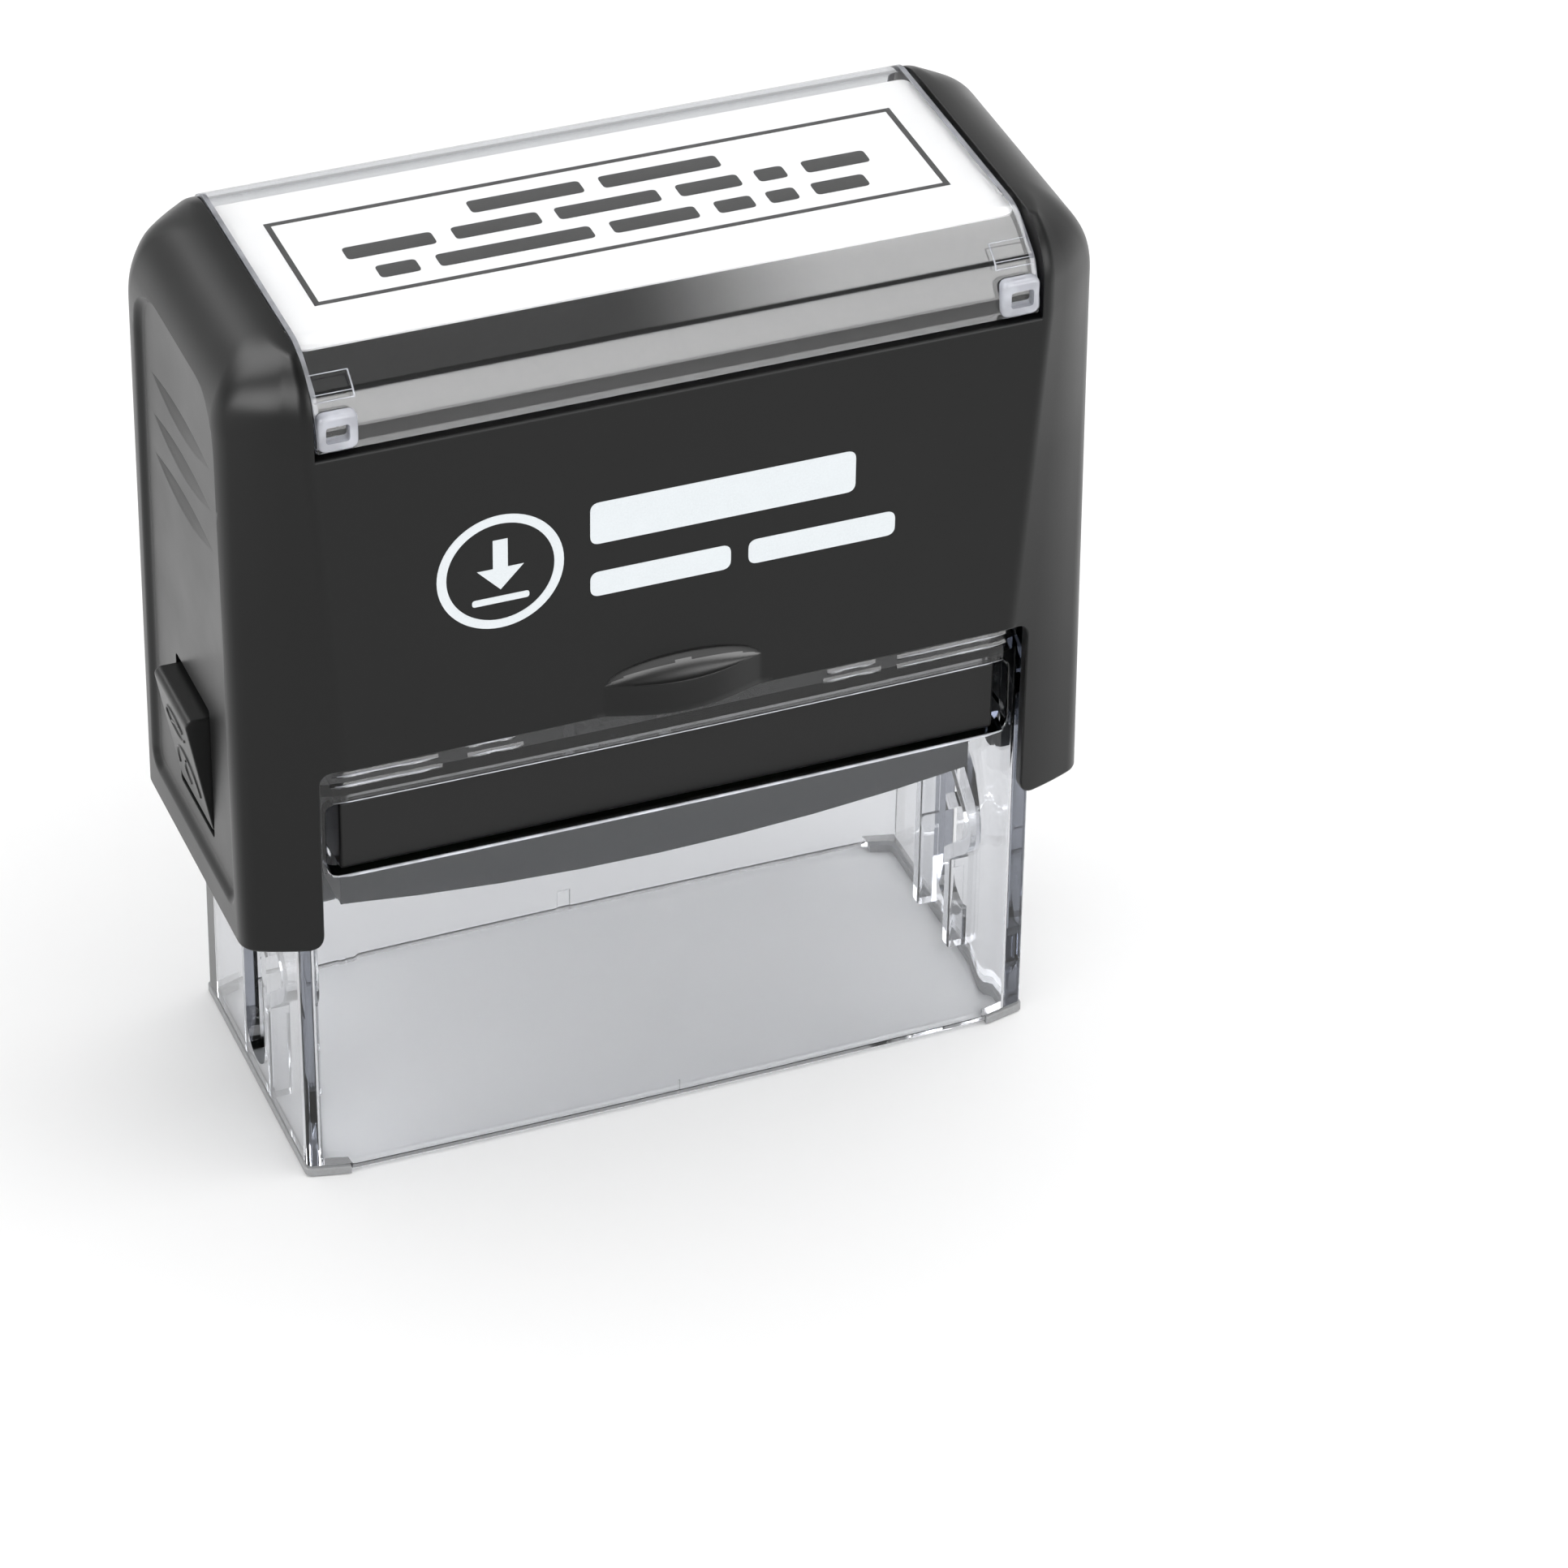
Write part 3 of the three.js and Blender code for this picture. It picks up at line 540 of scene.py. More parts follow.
def case_side(z, face, sign, inset, side_inset):
    """The corners of one face's right half: where its flat ends, its curved facet and the case's corner."""
    up = clamp((z - CASE.leg_z) / (SHOULDER.start - CASE.leg_z))
    full = CASE.half_length - SHOULDER.reach * fall_away(z, SHOULDER.start, SHOULDER.power)
    line = min(lerp(CASE.line_low, CASE.line_high, up), full - CASE.facet_least)
    depth = CASE.half_depth - face.reach * fall_away(z, face.curve) - inset
    drop = lerp(face.drop_low, face.drop_high, up) - inset * 0.1
    start = Vector((line - inset * 0.3, depth))
    end = Vector((full - side_inset, depth - drop))
    along = end - start
    bulge = CASE.facet_bulge * min(1, along.length / CASE.facet_full)
    middle = (start + end) / 2 + Vector((-along.y, along.x)).normalized() * bulge
    return [
        (start.x, sign * start.y, CASE.line_round),
        (middle.x, sign * middle.y, CASE.half_length),
        (end.x, sign * end.y, CASE.corner_round),
    ]


def case_outline(z, inset=0.0, side_inset=None, steps=9):
    side_inset = inset if side_inset is None else side_inset
    right = case_side(z, FRONT, -1, inset, side_inset) + case_side(z, BACK, 1, inset, side_inset)[::-1]
    return [(x, y, z) for x, y in round_corners(mirrored(right), steps)]


def case_front(x, z):
    """How far the case's front face stands forward of the middle plane there."""
    front = sorted((px, -py) for px, py, _ in case_outline(z) if px > 0 and py < 0)
    return read_off(front, abs(x), front[0][1])


def shifted(path, inset):
    """The corners of an open path in (y, z, rounding), moved to lie that far to its right."""
    lines = []
    for (y0, z0, _), (y1, z1, _) in zip(path, path[1:]):
        along = Vector((y1 - y0, z1 - z0)).normalized()
        lines.append((Vector((y0, z0)) + Vector((along.y, -along.x)) * inset, along))
    corners = []
    for (p, u), (q, v), corner in zip(lines, lines[1:], path[1:-1]):
        reach = ((q - p).x * v.y - (q - p).y * v.x) / (u.x * v.y - u.y * v.x)
        place = p + u * reach
        corners.append((place.x, place.y, corner[2]))
    return corners


def window_profile(inset, bottom, top=None, steps=20):
    """The window's section in (y, z), or a parallel one that far inside it, from its front to its back."""
    top = WINDOW.top - inset if top is None else top
    depth = WINDOW.half_depth - inset
    path = [(-WINDOW.half_depth, bottom, 0), *WINDOW.folds, (0, WINDOW.top, 0)]
    low, fold, crest = shifted(path, inset)
    slope = (crest[0] - fold[0]) / (crest[1] - fold[1])
    crest = (fold[0] + (top - fold[1]) * slope, top, crest[2])
    front = round_corners([(-depth, bottom, 0), low, fold, crest, (0, top, 0), (0, bottom, 0)])
    front = [p for p in front if p[0] < 0]
    back_y = WINDOW.half_depth - WINDOW.back_reach
    reach = WINDOW.back_reach - inset
    rise = top - WINDOW.back_curve
    turns = span(math.pi / 2, 0, steps)
    back = [(back_y + reach * math.cos(a), WINDOW.back_curve + rise * math.sin(a)) for a in turns]
    return [*front, *back, (depth, bottom)]


def window_front(z):
    """Where the window's front stands at a height."""
    points = [(at_z, y) for y, at_z in window_profile(0, WINDOW.bottom) if y < -2]
    return read_off(points, z, points[-1][1])


def flared(outline, surface, radius, deep):
    """A cutter along Y for an opening in a front, which rounds the opening's outer edge over.

    The outline runs anticlockwise in (x, z). surface(x, z) says how far the front stands forward there.
    """
    points = divided(outline, 1.5)
    count = len(points)
    outward = []
    for i in range(count):
        before, after = points[i - 1], points[(i + 1) % count]
        step = Vector((after[1] - before[1], before[0] - after[0]))
        outward.append(step.normalized() if step.length else Vector((0, 0)))
    rings = [[(x, -deep, z) for x, z in points]]
    for angle in (0, 22.5, 45, 67.5, 90):
        grow = radius * (1 - math.cos(math.radians(angle)))
        below = radius * (1 - math.sin(math.radians(angle)))
        ring = []
        for (x, z), away in zip(points, outward):
            u, v = x + away.x * grow, z + away.y * grow
            ring.append((u, -surface(x, z) + below - (0.02 if angle == 90 else 0), v))
        rings.append(ring)
    rings.append([(x, -FAR, z) for x, _, z in rings[-1]])
    return loft(rings)


def leg_gap_outline():
    foot, half = CASE.leg_z, CASE.gap_half
    right = [(FAR, foot - FAR, 0), (FAR, foot, 0), (half, foot, 1.8), (half, CASE.gap_top, 1.6)]
    return round_corners(mirrored(right))


def thumb_shelf(x, z):
    """How far the thumb rest stands forward of the flat front: a shelf with a scooped top."""
    reach = THUMB.reach * clamp(1 - (x / THUMB.half_width) ** 2) ** 1.2
    height = thumb_arch(x)
    if z <= THUMB.rim or height < 0.05:
        return reach if z <= THUMB.rim else 0.0
    u = clamp((THUMB.rim + height - z) / height)
    dip = THUMB.dip * min(1.0, 5 * u) * (1 - u) * height / THUMB.arch
    return reach * (1 - math.sqrt(1 - u * u)) - dip


def thumb_arch(x):
    return THUMB.arch * math.sqrt(clamp(1 - (x / THUMB.arch_half) ** 2))


def thumb_block():
    """A slab of the front wall that carries the thumb rest, drawn in columns across its rim and arch."""
    front_y = -CASE.half_depth
    back_y = front_y + CASE.wall + 0.2
    scoop = [1 - math.cos(a) for a in span(0, math.pi / 2, 14)]
    columns = []
    for x in span(-9.2, 9.2, 92):
        heights = span(CASE.gap_top - 3, THUMB.rim, 5)
        heights += [THUMB.rim + (thumb_arch(x) + 0.004) * u for u in scoop]
        front = [(x, front_y - thumb_shelf(x, z), z) for z in heights]
        front.append((x, front_y, 56.0))
        columns.append(front + [(x, back_y, z) for _, _, z in reversed(front)])
    return loft(columns)


def case_surface(x, z):
    return case_front(x, z) + (thumb_shelf(x, z) if abs(x) < THUMB.half_width else 0.0)


def panel_cutter():
    """The shallow panel on an end, whose floor ramps softly up to the surface round it."""
    rings = []
    for u in span(0, 1, 8):
        grow = PANEL.ramp * u
        half, low, high = PANEL.half_width + grow, PANEL.bottom - grow, PANEL.top + grow
        outline = round_corners([
            (-half, low, 1.2 + grow), (half, low, 1.2 + grow),
            (half - 1, high, PANEL.corner + grow), (-half + 1, high, PANEL.corner + grow),
        ], 10)
        at = CASE.half_length - PANEL.depth * (1 - smoothstep(u, 0, 1))
        rings.append(placed(outline, at + 0.003 * (u == 1), "x"))
    rings.append([(FAR, y, z) for _, y, z in rings[-1]])
    return loft(rings)


def groove_cutter(z):
    """A grip groove: pointed at both ends, with a sharp upper edge and a floor that slopes out below."""
    surface = CASE.half_length - PANEL.depth
    rings = []
    for y in span(-GROOVE.half_width, GROOVE.half_width, 40):
        swell = max(1 - (y / GROOVE.half_width) ** 2, 0.01)
        height, depth = GROOVE.height * swell, GROOVE.depth * swell
        section = ((-1, 0.36), (0, 0.36), (depth, 0.28), (depth * 0.9, 0.12), (0, -0.64), (-1, -0.64))
        rings.append([(surface - below, y, z + height * up) for below, up in section])
    return loft(rings)


# Where the ledge under the window rounds over: how far in from the front, and down.
LEDGE_EDGE = ((0.3, 0.0), (0.14, 0.05), (0.05, 0.14), (-0.02, 0.32))


def recess_cutter():
    """What is cut away above the deck so that the window lies flush between the end caps."""
    ledge = DECK.ledge
    outline = window_profile(WINDOW.thickness + GAP, ledge, DECK.top)
    lip = [(CASE.half_depth - away, ledge - down) for away, down in LEDGE_EDGE]
    side = [*lip, (FAR, lip[-1][1]), (FAR, CASE.top_z + FAR)]
    outline += side + [(-y, z) for y, z in reversed(side)]
    return prism(outline, -DECK.half_length, DECK.half_length, "x")


def back_light_cutter():
    """Slopes the deck away behind the card, so that light comes in through the window's back."""
    back = CARD.back + 0.15
    y, z = DECK.back_slope
    outline = [(back, DECK.top - 0.1), (y, z), (FAR, z), (FAR, FAR + 40), (back, FAR + 40)]
    return prism(outline, -DECK.half_length, DECK.half_length, "x")


def wall_at(z):
    if z > CASE.deck_wall_z:
        return CASE.deck_wall
    return CASE.leg_wall if z < CASE.leg_wall_z else CASE.wall


def cavity_tool():
    """The hollow inside the case, whose legs have thin walls so that they slide past the frame."""
    levels = [10, CASE.leg_z, 38, 49, 70, 82.5, 84.4, CASE.ceiling]
    levels += [CASE.leg_wall_z - 0.2, CASE.leg_wall_z + 0.2]
    levels += [CASE.deck_wall_z - 0.1, CASE.deck_wall_z + 0.1]
    return loft([case_outline(z, wall_at(z), CASE.side_wall, 4) for z in sorted(levels)])


def make_case():
    foot = CASE.leg_z
    levels = [foot + 0.3, *span(30, 66, 6), *span(68, 80, 8)]
    levels += [SHOULDER.start + (CASE.top_z - SHOULDER.start) * math.sin(a) for a in span(0, 1.2, 20)]
    levels += [lerp(89.6, 90.18, math.sin(a)) for a in span(0.2, math.pi / 2, 6)]
    rings = [case_outline(foot, 0.3), case_outline(foot + 0.04, 0.15), case_outline(foot + 0.14, 0.05)]
    rings += [case_outline(z) for z in levels]
    case = loft(rings)
    slab_back = -CASE.half_depth + CASE.wall + 0.1
    cut(case, cavity_tool())
    cut(case, box((-8.9, -FAR, CASE.gap_top - 2.5), (8.9, slab_back, 55.8)))
    join(case, thumb_block())
    gap = leg_gap_outline()
    cut(case, recess_cutter(), back_light_cutter())
    cut(case, flared(gap, case_surface, 0.28, 10.0), prism(gap, -11.0, FAR, "y"))
    right = [panel_cutter(), button_hole(), *[groove_cutter(z) for z in GROOVE.heights]]
    left = [mirror_copy(tool) for tool in right]
    cut(case, *right)
    return cut(case, *left)


def button_hole():
    half = BUTTON.half + GAP
    outline = rectangle(-half, BUTTON.bottom - BUTTON.below, half, BUTTON.top + BUTTON.above, 0.5, 4)
    return prism(outline, 30.0, FAR, "x")


def print_slab(outline):
    """Ink on the flat front, as a thin raised shape drawn in (x, z)."""
    y = -CASE.half_depth
    return prism(outline, y - 0.04, y + 0.01, "y")


def front_print():
    """A plain pictogram: an arrow that points down at a page, in a ring, beside plain bars."""
    x, z = PICTOGRAM.x, PICTOGRAM.z
    ring = print_slab(circle(PICTOGRAM.outer, 64, x, z))
    cut(ring, prism(circle(PICTOGRAM.inner, 64, x, z), -FAR, FAR, "y"))
    arrow = ((-0.7, 3.4), (-0.7, 0.4), (-2.2, 0.4), (0, -1.9), (2.2, 0.4), (0.7, 0.4), (0.7, 3.4))
    page = rectangle(x - 2.7, z - 3.3, x + 2.7, z - 2.6, 0.3)
    bars = ((-9.0, 66.6, 16.5, 71.0), (-9.0, 61.0, 4.5, 63.6), (6.2, 61.0, 20.5, 63.6))
    shapes = [[(x + u, z + v) for u, v in arrow], page, *[rectangle(*bar, 0.9) for bar in bars]]
    return join(ring, *[print_slab(shape) for shape in shapes])


def gloss_and_painted_glow(case):
    """Gives the deck under the window a gloss of its own, and the scoop of the thumb rest a higher gloss
    and a lighter, warmer colour, which is a painted highlight.
    """
    case.data.materials.append(DECK_BLACK)
    case.data.materials.append(THUMB_GLOSS_AND_GLOW)
    for face in case.data.polygons:
        x, y, z = (face.center - Vector((0, MIDDLE_Y, 0))) / MM
        if abs(x) < DECK.half_length - 0.02 and z > DECK.ledge + 0.02 and face.normal.z > -0.3:
            face.material_index = 1
        on_rest = abs(x) < THUMB.arch_half and THUMB.rim < z < THUMB.rim + thumb_arch(x)
        if on_rest and y < -CASE.half_depth - 0.005 and face.normal.z > 0.1:
            face.material_index = 2


gloss_and_painted_glow(finish_piece(make_case(), "case_moulding", "case", CASE_BLACK, ["case_shell"], 34))
finish_piece(front_print(), "front_pictogram", "case", FRONT_PRINT, weighted=False)

# ---- The window and its card ----


def window_section(edge, inner_edge, bottom):
    """The window's closed section, drawn in by an edge on its outside and on its inside."""
    return window_profile(edge, bottom) + window_profile(inner_edge, bottom)[::-1]


def window_clip(end_x):
    """The clip at a front corner of the window: a rounded raised rim round a sunken middle."""
    x0, x1 = end_x - CLIP.inner, end_x - CLIP.outer
    z0, z1 = WINDOW.bottom + 0.1, CLIP.top
    left, low, right, high = CLIP.rim
    block = bevelled(prism(rectangle(x0, z0, x1, z1, 0.8), CLIP.front, CLIP.back, "y"), 0.45, 5)
    hollow = rectangle(x0 + left, z0 + low, x1 - right, z1 - high, 0.35)
    return cut(block, bevelled(prism(hollow, CLIP.front - 0.95, CLIP.back + 0.2, "y"), 0.1, 2))


def pocket_highlight_line(points, size):
    """A fine bright line on the window's front curve, through points in (x, z): a painted highlight on an
    edge.
    """
    return tube([(x, window_front(z) - size * 0.2, z) for x, z in points], size, 8)


def window_pocket(end_x):
    """The dim pocket above it, outlined by fine lines of painted highlight that follow the window's curve.
    """
    x0, x1 = end_x - GAP - POCKET.width, end_x - GAP
    upright = pocket_highlight_line([(x0, z) for z in span(POCKET.bottom, POCKET.top, 8)], 0.08)
    edges = ((POCKET.bottom, 0.05), (POCKET.step, 0.04), (POCKET.top, 0.05))
    return join(upright, *[pocket_highlight_line([(x, z) for x in span(x0, x1, 4)], size) for z, size in edges])


def make_window():
    half, thickness = WINDOW.half_length, WINDOW.thickness
    rings = []
    for x, edge in eased(-half, half, ((0, 0.16), (0.05, 0.05), (0.18, 0))):
        rings.append(placed(window_section(edge, thickness - edge, WINDOW.bottom), x, "x"))
    window = loft(rings)
    notch = box((half - 0.5, -9.6, 87.6), (half + 1, -8.4, 90))
    return cut(window, notch, mirror_copy(notch))


def window_clips():
    """Both clips with the pockets above them, whose edges catch the light: their pale colour is a painted
    highlight.
    """
    right = [make(WINDOW.half_length) for make in (window_clip, window_pocket)]
    return join(*right, *[mirror_copy(part) for part in right])


def window_end_highlights():
    """The window's moulded ends, which follow its section inside each end cap, in a grey that paints a
    light strip along each end: a painted highlight.
    """
    half = WINDOW.half_length
    section = window_section(0.02, 0.3, WINDOW.bottom + 0.5)
    return join(*both_ends(prism, section, half - 0.5, half - 0.04, "x"))


def make_card():
    outline = rectangle(-CARD.half_length, CARD.front, CARD.half_length, CARD.back, 1.2, 8)
    return prism(outline, CARD.z, CARD.z + CARD.thickness)


def card_print():
    """A proof of the imprint: a border round three lines of plain bars."""
    top = CARD.z + CARD.thickness
    low, high = top - 0.01, top + 0.02
    border = prism(rectangle(-30.2, -5.9, 30.2, 8.8), low, high)
    cut(border, prism(rectangle(-29.65, -5.35, 29.65, 8.25), low - 1, high + 1))
    lines = (
        (5.3, ((-12.0, -1.2), (0.6, 12.0))),
        (1.5, ((-25.0, -16.6), (-14.8, -6.6), (-5.0, 4.8), (6.6, 12.6), (14.2, 17.0), (18.8, 25.0))),
        (-2.4, ((-23.2, -19.4), (-17.6, -3.0), (-1.2, 7.0), (8.8, 12.4), (13.8, 16.6), (18.2, 23.4))),
    )
    words = []
    for y, bars in lines:
        words += [prism(rectangle(x0, y - 1.05, x1, y + 1.05, 0.5, 4), low, high) for x0, x1 in bars]
    return join(border, *words)


finish_piece(make_window(), "window_clear", "window", CLEAR_WINDOW, ["window_cover"], 30)
finish_piece(window_clips(), "window_clips", "window", CLIP_HIGHLIGHT_PAINT, (), 50, False)
finish_piece(window_end_highlights(), "window_end_highlights", "window", RIM_HIGHLIGHT_PAINT, weighted=False)
finish_piece(make_card(), "card_sheet", "case", CARD_WHITE, ["index_card"])
finish_piece(card_print(), "card_proof", "case", CARD_PRINT, weighted=False)

# ---- The base frame ----


def bowed(x, lean):
    """How far the frame's front stands forward between its facets."""
    return FRAME.half_depth - FRAME.bow * (x / FRAME.facet) ** 2 - lean


def frame_outline(z, inset=0.0, steps=6):
    lean = FRAME.draft * max(z, 0) + inset
    facet = FRAME.facet - inset * 0.4
    front = [(facet * t, -bowed(facet * t, lean), 0) for t in span(0, 1, 10)[1:-1]]
    front.append((facet, -bowed(facet, lean), 0.8))
    corner_y = FRAME.half_depth - FRAME.corner_drop - lean * 0.95
    front.append((FRAME.half_length - inset, -corner_y, 0.6))
    right = front + [(x, -y, r) for x, y, r in reversed(front)]
    return [(x, y, z) for x, y in round_corners(mirrored(right), steps)]


def frame_front(x, z):
    """How far the frame's front stands forward at a place on it."""
    lean = FRAME.draft * max(z, 0)
    if abs(x) <= FRAME.facet:
        return bowed(x, lean)
    t = (abs(x) - FRAME.facet) / (FRAME.half_length - FRAME.facet)
    return bowed(FRAME.facet, lean) - (FRAME.corner_drop - FRAME.bow) * t


def frame_block(levels):
    return loft([frame_outline(z, inset) for z, inset in levels])


def cam_path():
    """The path of a cam pin past the frame: down with the case while it swings round the axle."""
    arm = CAM.arm
    turns = span(0, math.pi, 22)
    return [(-arm * math.sin(a), AXLE_Z - STROKE * a / math.pi - arm * math.cos(a)) for a in turns]


def swept(path, radius, x0, x1):
    """What a round bar along X sweeps out as it follows a path in (y, z)."""
    parts = []
    for (y0, z0), (y1, z1) in zip(path, path[1:]):
        heading = math.atan2(z1 - z0, y1 - y0)
        outline = []
        for y, z, start in ((y0, z0, heading + math.pi / 2), (y1, z1, heading - math.pi / 2)):
            turns = span(start, start + math.pi, 12)
            outline += [(y + radius * math.cos(a), z + radius * math.sin(a)) for a in turns]
        parts.append(prism(outline, x0, x1, "x"))
    return join(*parts)


def end_track():
    outside = FRAME.half_length - FRAME.wall / 2
    half = CAM.pin + CAM.clearance
    track = swept(cam_path(), half + CAM.wall, RIB.inner, outside)
    y0, width = SLOT.half + 0.1, RIB.width
    ribs = []
    for low, top in ((y0, RAIL.top - 1), (-y0 - width, 12.0)):
        outline = rectangle(RIB.inner, low, outside, low + width, 0.35, 4)
        ribs.append(prism(outline, RIB.bottom, top))
    join(track, *ribs)
    return cut(track, swept(cam_path(), half, RIB.inner - 1, CAM.floor))


def axle_slot():
    half, low, high = SLOT.half, SLOT.bottom, SLOT.top
    outline = [(half, high), (-half, high)]
    outline += [(half * math.cos(a), low + half + half * math.sin(a)) for a in span(math.pi, TAU, 20)]
    return prism(outline, RIB.inner - 1, FAR, "x")


def end_rail():
    outside = FRAME.half_length - FRAME.wall / 2
    outline = rectangle(RAIL.inner, -RAIL.half_depth, outside, RAIL.half_depth, 0.5, 4)
    return prism(outline, RAIL.bottom, RAIL.top)


def strip_ledge(x0, x1, z, proud, height=0.3):
    """A moulded rib along the frame's front wall above the ink pad."""
    rings = []
    for x in span(x0, x1, 12):
        y = -frame_front(x, z)
        out = proud * math.sin(math.pi * clamp((x - x0) / (x1 - x0), 0.04, 0.96)) ** 0.3
        section = ((0.2, -1), (-0.01, -1), (-out, -0.2), (-0.01, 1), (0.2, 1))
        rings.append([(x, y + back, z + height * up) for back, up in section])
    return loft(rings)


def frame_highlight_line(x0, x1, z, size):
    """A fine bright line that follows the frame's front at one height: a painted highlight on an edge."""
    rings = []
    for x in span(x0, x1, 40):
        taper = min(1.0, 0.25 + min(x - x0, x1 - x) / 2)
        rings.append(placed(circle(size * taper, 8, size * 0.35 - frame_front(x, z), z), x, "x"))
    return loft(rings)


# The ribs of the strip above the ink pad: from x, to x, height.
STRIP_RIBS = Sizes(
    left=((-33.0, -23.0, 45.6), (-33.2, -22.6, 44.5), (-20.4, -15.6, 46.1), (-20.2, -14.8, 45.0)),
    right=((22.0, 33.2, 45.6), (22.0, 33.2, 44.6), (15.0, 19.8, 45.7), (14.6, 20.4, 44.8)),
)


def frame_edge_highlight_lines():
    """Painted highlights on the bright edges of the frame: the lip under the ink pad, the lip over it and
    its ribs' crests.
    """
    lip = frame_highlight_line(-33.2, 33.2, FRAME.front_top - 0.1, 0.14)
    lines = [frame_highlight_line(-33.0, 33.0, PAD_DECK.bottom - 0.12, 0.06)]
    for ribs, size in ((STRIP_RIBS.left, 0.09), (STRIP_RIBS.right, 0.06)):
        lines += [moved(frame_highlight_line(x0 + 0.4, x1 - 0.3, z + 0.05, size), y=-0.2) for x0, x1, z in ribs]
    return join(lip, *lines)


def make_frame():
    bottom, top, wall = FRAME.bottom, FRAME.top, FRAME.wall
    levels = [(bottom, 0.22), (bottom + 0.06, 0.08), (bottom + 0.22, 0), (20, 0), (FRAME.front_top, 0)]
    body = frame_block([*levels, (top - 0.25, 0), (top, 0.22)])
    under_deck = [(-5, wall - 0.2), (bottom, wall - 0.2), (bottom + 0.2, wall), (20, wall)]
    under_deck.append((PAD_DECK.bottom, wall))
    over_deck = [(PAD_DECK.top, wall), (top + 5, wall)]
    cut(body, frame_block(under_deck), frame_block(over_deck))
    join(body, bevelled(prism(circle(CUP.outer, 64), PAD_DECK.bottom + 0.3, CUP.top), 0.25, 2, 60))
    half, corner = PAD_DECK.mouth_half, PAD_DECK.mouth_corner
    mouth = rectangle(-half, FRAME.front_top, half, PAD_DECK.bottom - 0.3, corner, 6)
    steps = both_ends(box, (FOOT.start - GAP / 2, -FAR, -FAR), (FAR, FAR, FOOT.recess))
    bore = prism(circle(CUP.inner, 64), PAD_DECK.top, FAR)
    cut(body, bore, flared(mouth, frame_front, 0.26, 10.0), *steps)
    join(body, *both_ends(end_track), *both_ends(end_rail))
    cut(body, *both_ends(axle_slot))
    join(body, *[strip_ledge(*rib, 0.24) for rib in STRIP_RIBS.left + STRIP_RIBS.right])
    mark = box((0.34, -FRAME.half_depth - 0.01, 0.3), (0.5, -FRAME.half_depth + 0.12, 2.2))
    back_y = FRAME.half_depth - wall
    key = box((-0.65, back_y - 1, -1), (0.7, back_y + 0.2, 3.1))
    return cut(body, mark, key)


def make_foot():
    proud, top = FOOT.proud, FOOT.height
    strip = frame_block([(0, 0.12 - proud), (0.1, -proud), (top - 0.1, -proud), (top, 0.1 - proud)])
    inset = FOOT.width - proud
    cut(strip, frame_block([(-1, inset), (top + 1, inset)]))
    return common(strip, box((FOOT.start, -FAR, -FAR), (FAR, FAR, FAR)))


finish_piece(make_frame(), "frame_clear", "frame", CLEAR, ["frame_body"], 30)
finish_piece(frame_edge_highlight_lines(), "frame_edge_highlights", "frame", EDGE_HIGHLIGHT_PAINT, weighted=False)
for side, foot in (("right", make_foot()), ("left", to_left(make_foot()))):
    finish_piece(foot, f"foot_strip_{side}", "frame", FOOT_GREY, [f"foot_{side}"])

# ---- The lock buttons ----


def button_face(y, z):
    """A point on a lock button's outer face."""
    low, high = (BUTTON.flush, BUTTON.bottom), (BUTTON.ledge, BUTTON.top - 0.5)
    return (lerp(low[0], high[0], (z - low[1]) / (high[1] - low[1])) + 0.02, y, z)


def make_button():
    bottom, top, half = BUTTON.bottom, BUTTON.top, BUTTON.half
    outline = round_corners([
        (BUTTON.flush - 3, bottom, 0.3), (BUTTON.flush, bottom, 0.4), (BUTTON.ledge, top - 0.5, 0.5),
        (BUTTON.ledge - 0.5, top, 0.3), (BUTTON.flush - 0.8, top, 0.3), (BUTTON.flush - 1.5, top - 6, 1),
    ], 5)
    middle = Vector((sum(p[0] for p in outline), sum(p[1] for p in outline))) / len(outline)
    rings = []
    for y, edge in eased(-half, half, BUTTON.edge):
        ring = []
        for x, z in outline:
            inward = (middle - Vector((x, z))).normalized() * edge
            ring.append((x + inward.x, y, z + inward.y))
        rings.append(ring)
    body = loft(rings)
    pivot_x, pivot_z = BUTTON.pivot
    trunnion = chamfered(BUTTON.trunnion, -BUTTON.reach, BUTTON.reach, "y", 0.15)
    join(body, moved(trunnion, pivot_x, 0, pivot_z))
    arch = [button_face(3.1 * math.cos(a), 37.0 + 3.4 * math.sin(a)) for a in span(0.0, math.pi, 24)]
    stem = [button_face(0.9 * math.sin(3.2 * t), 36.4 + 2.8 * t) for t in span(0, 1, 10)]
    ring = [button_face(2.6 * math.cos(a), 43.6 + 1.2 * math.sin(a)) for a in span(-2.8, 2.8, 30)]
    slash = [button_face(y, 43.6 - 0.45 * y) for y in span(-1.5, 1.5, 4)]
    return join(body, *[tube(path, 0.13) for path in (arch, stem, ring, slash)])


for side, button in (("right", make_button()), ("left", to_left(make_button()))):
    replaced = [f"lock_button_{side}"]
    finish_piece(button, f"button_{side}", f"lock_{side}", BUTTON_BLACK, replaced, 34)

# ---- The ink pad ----


def make_tray():
    half, front, back, bottom = TRAY.half_length, TRAY.front, TRAY.back, TRAY.bottom
    body = bevelled(box((-half, front, bottom), (half, back, TRAY.top)), 0.35, 4)
    inside, back_wall = half - TRAY.side, back - TRAY.back_wall
    hollow = box((-inside, front + TRAY.fascia, bottom - 1), (inside, back_wall, TRAY.top - TRAY.roof))
    low_back = box((-inside, back_wall - 1, bottom - 1), (inside, back + 1, TRAY.back_bottom))
    return cut(body, hollow, low_back)


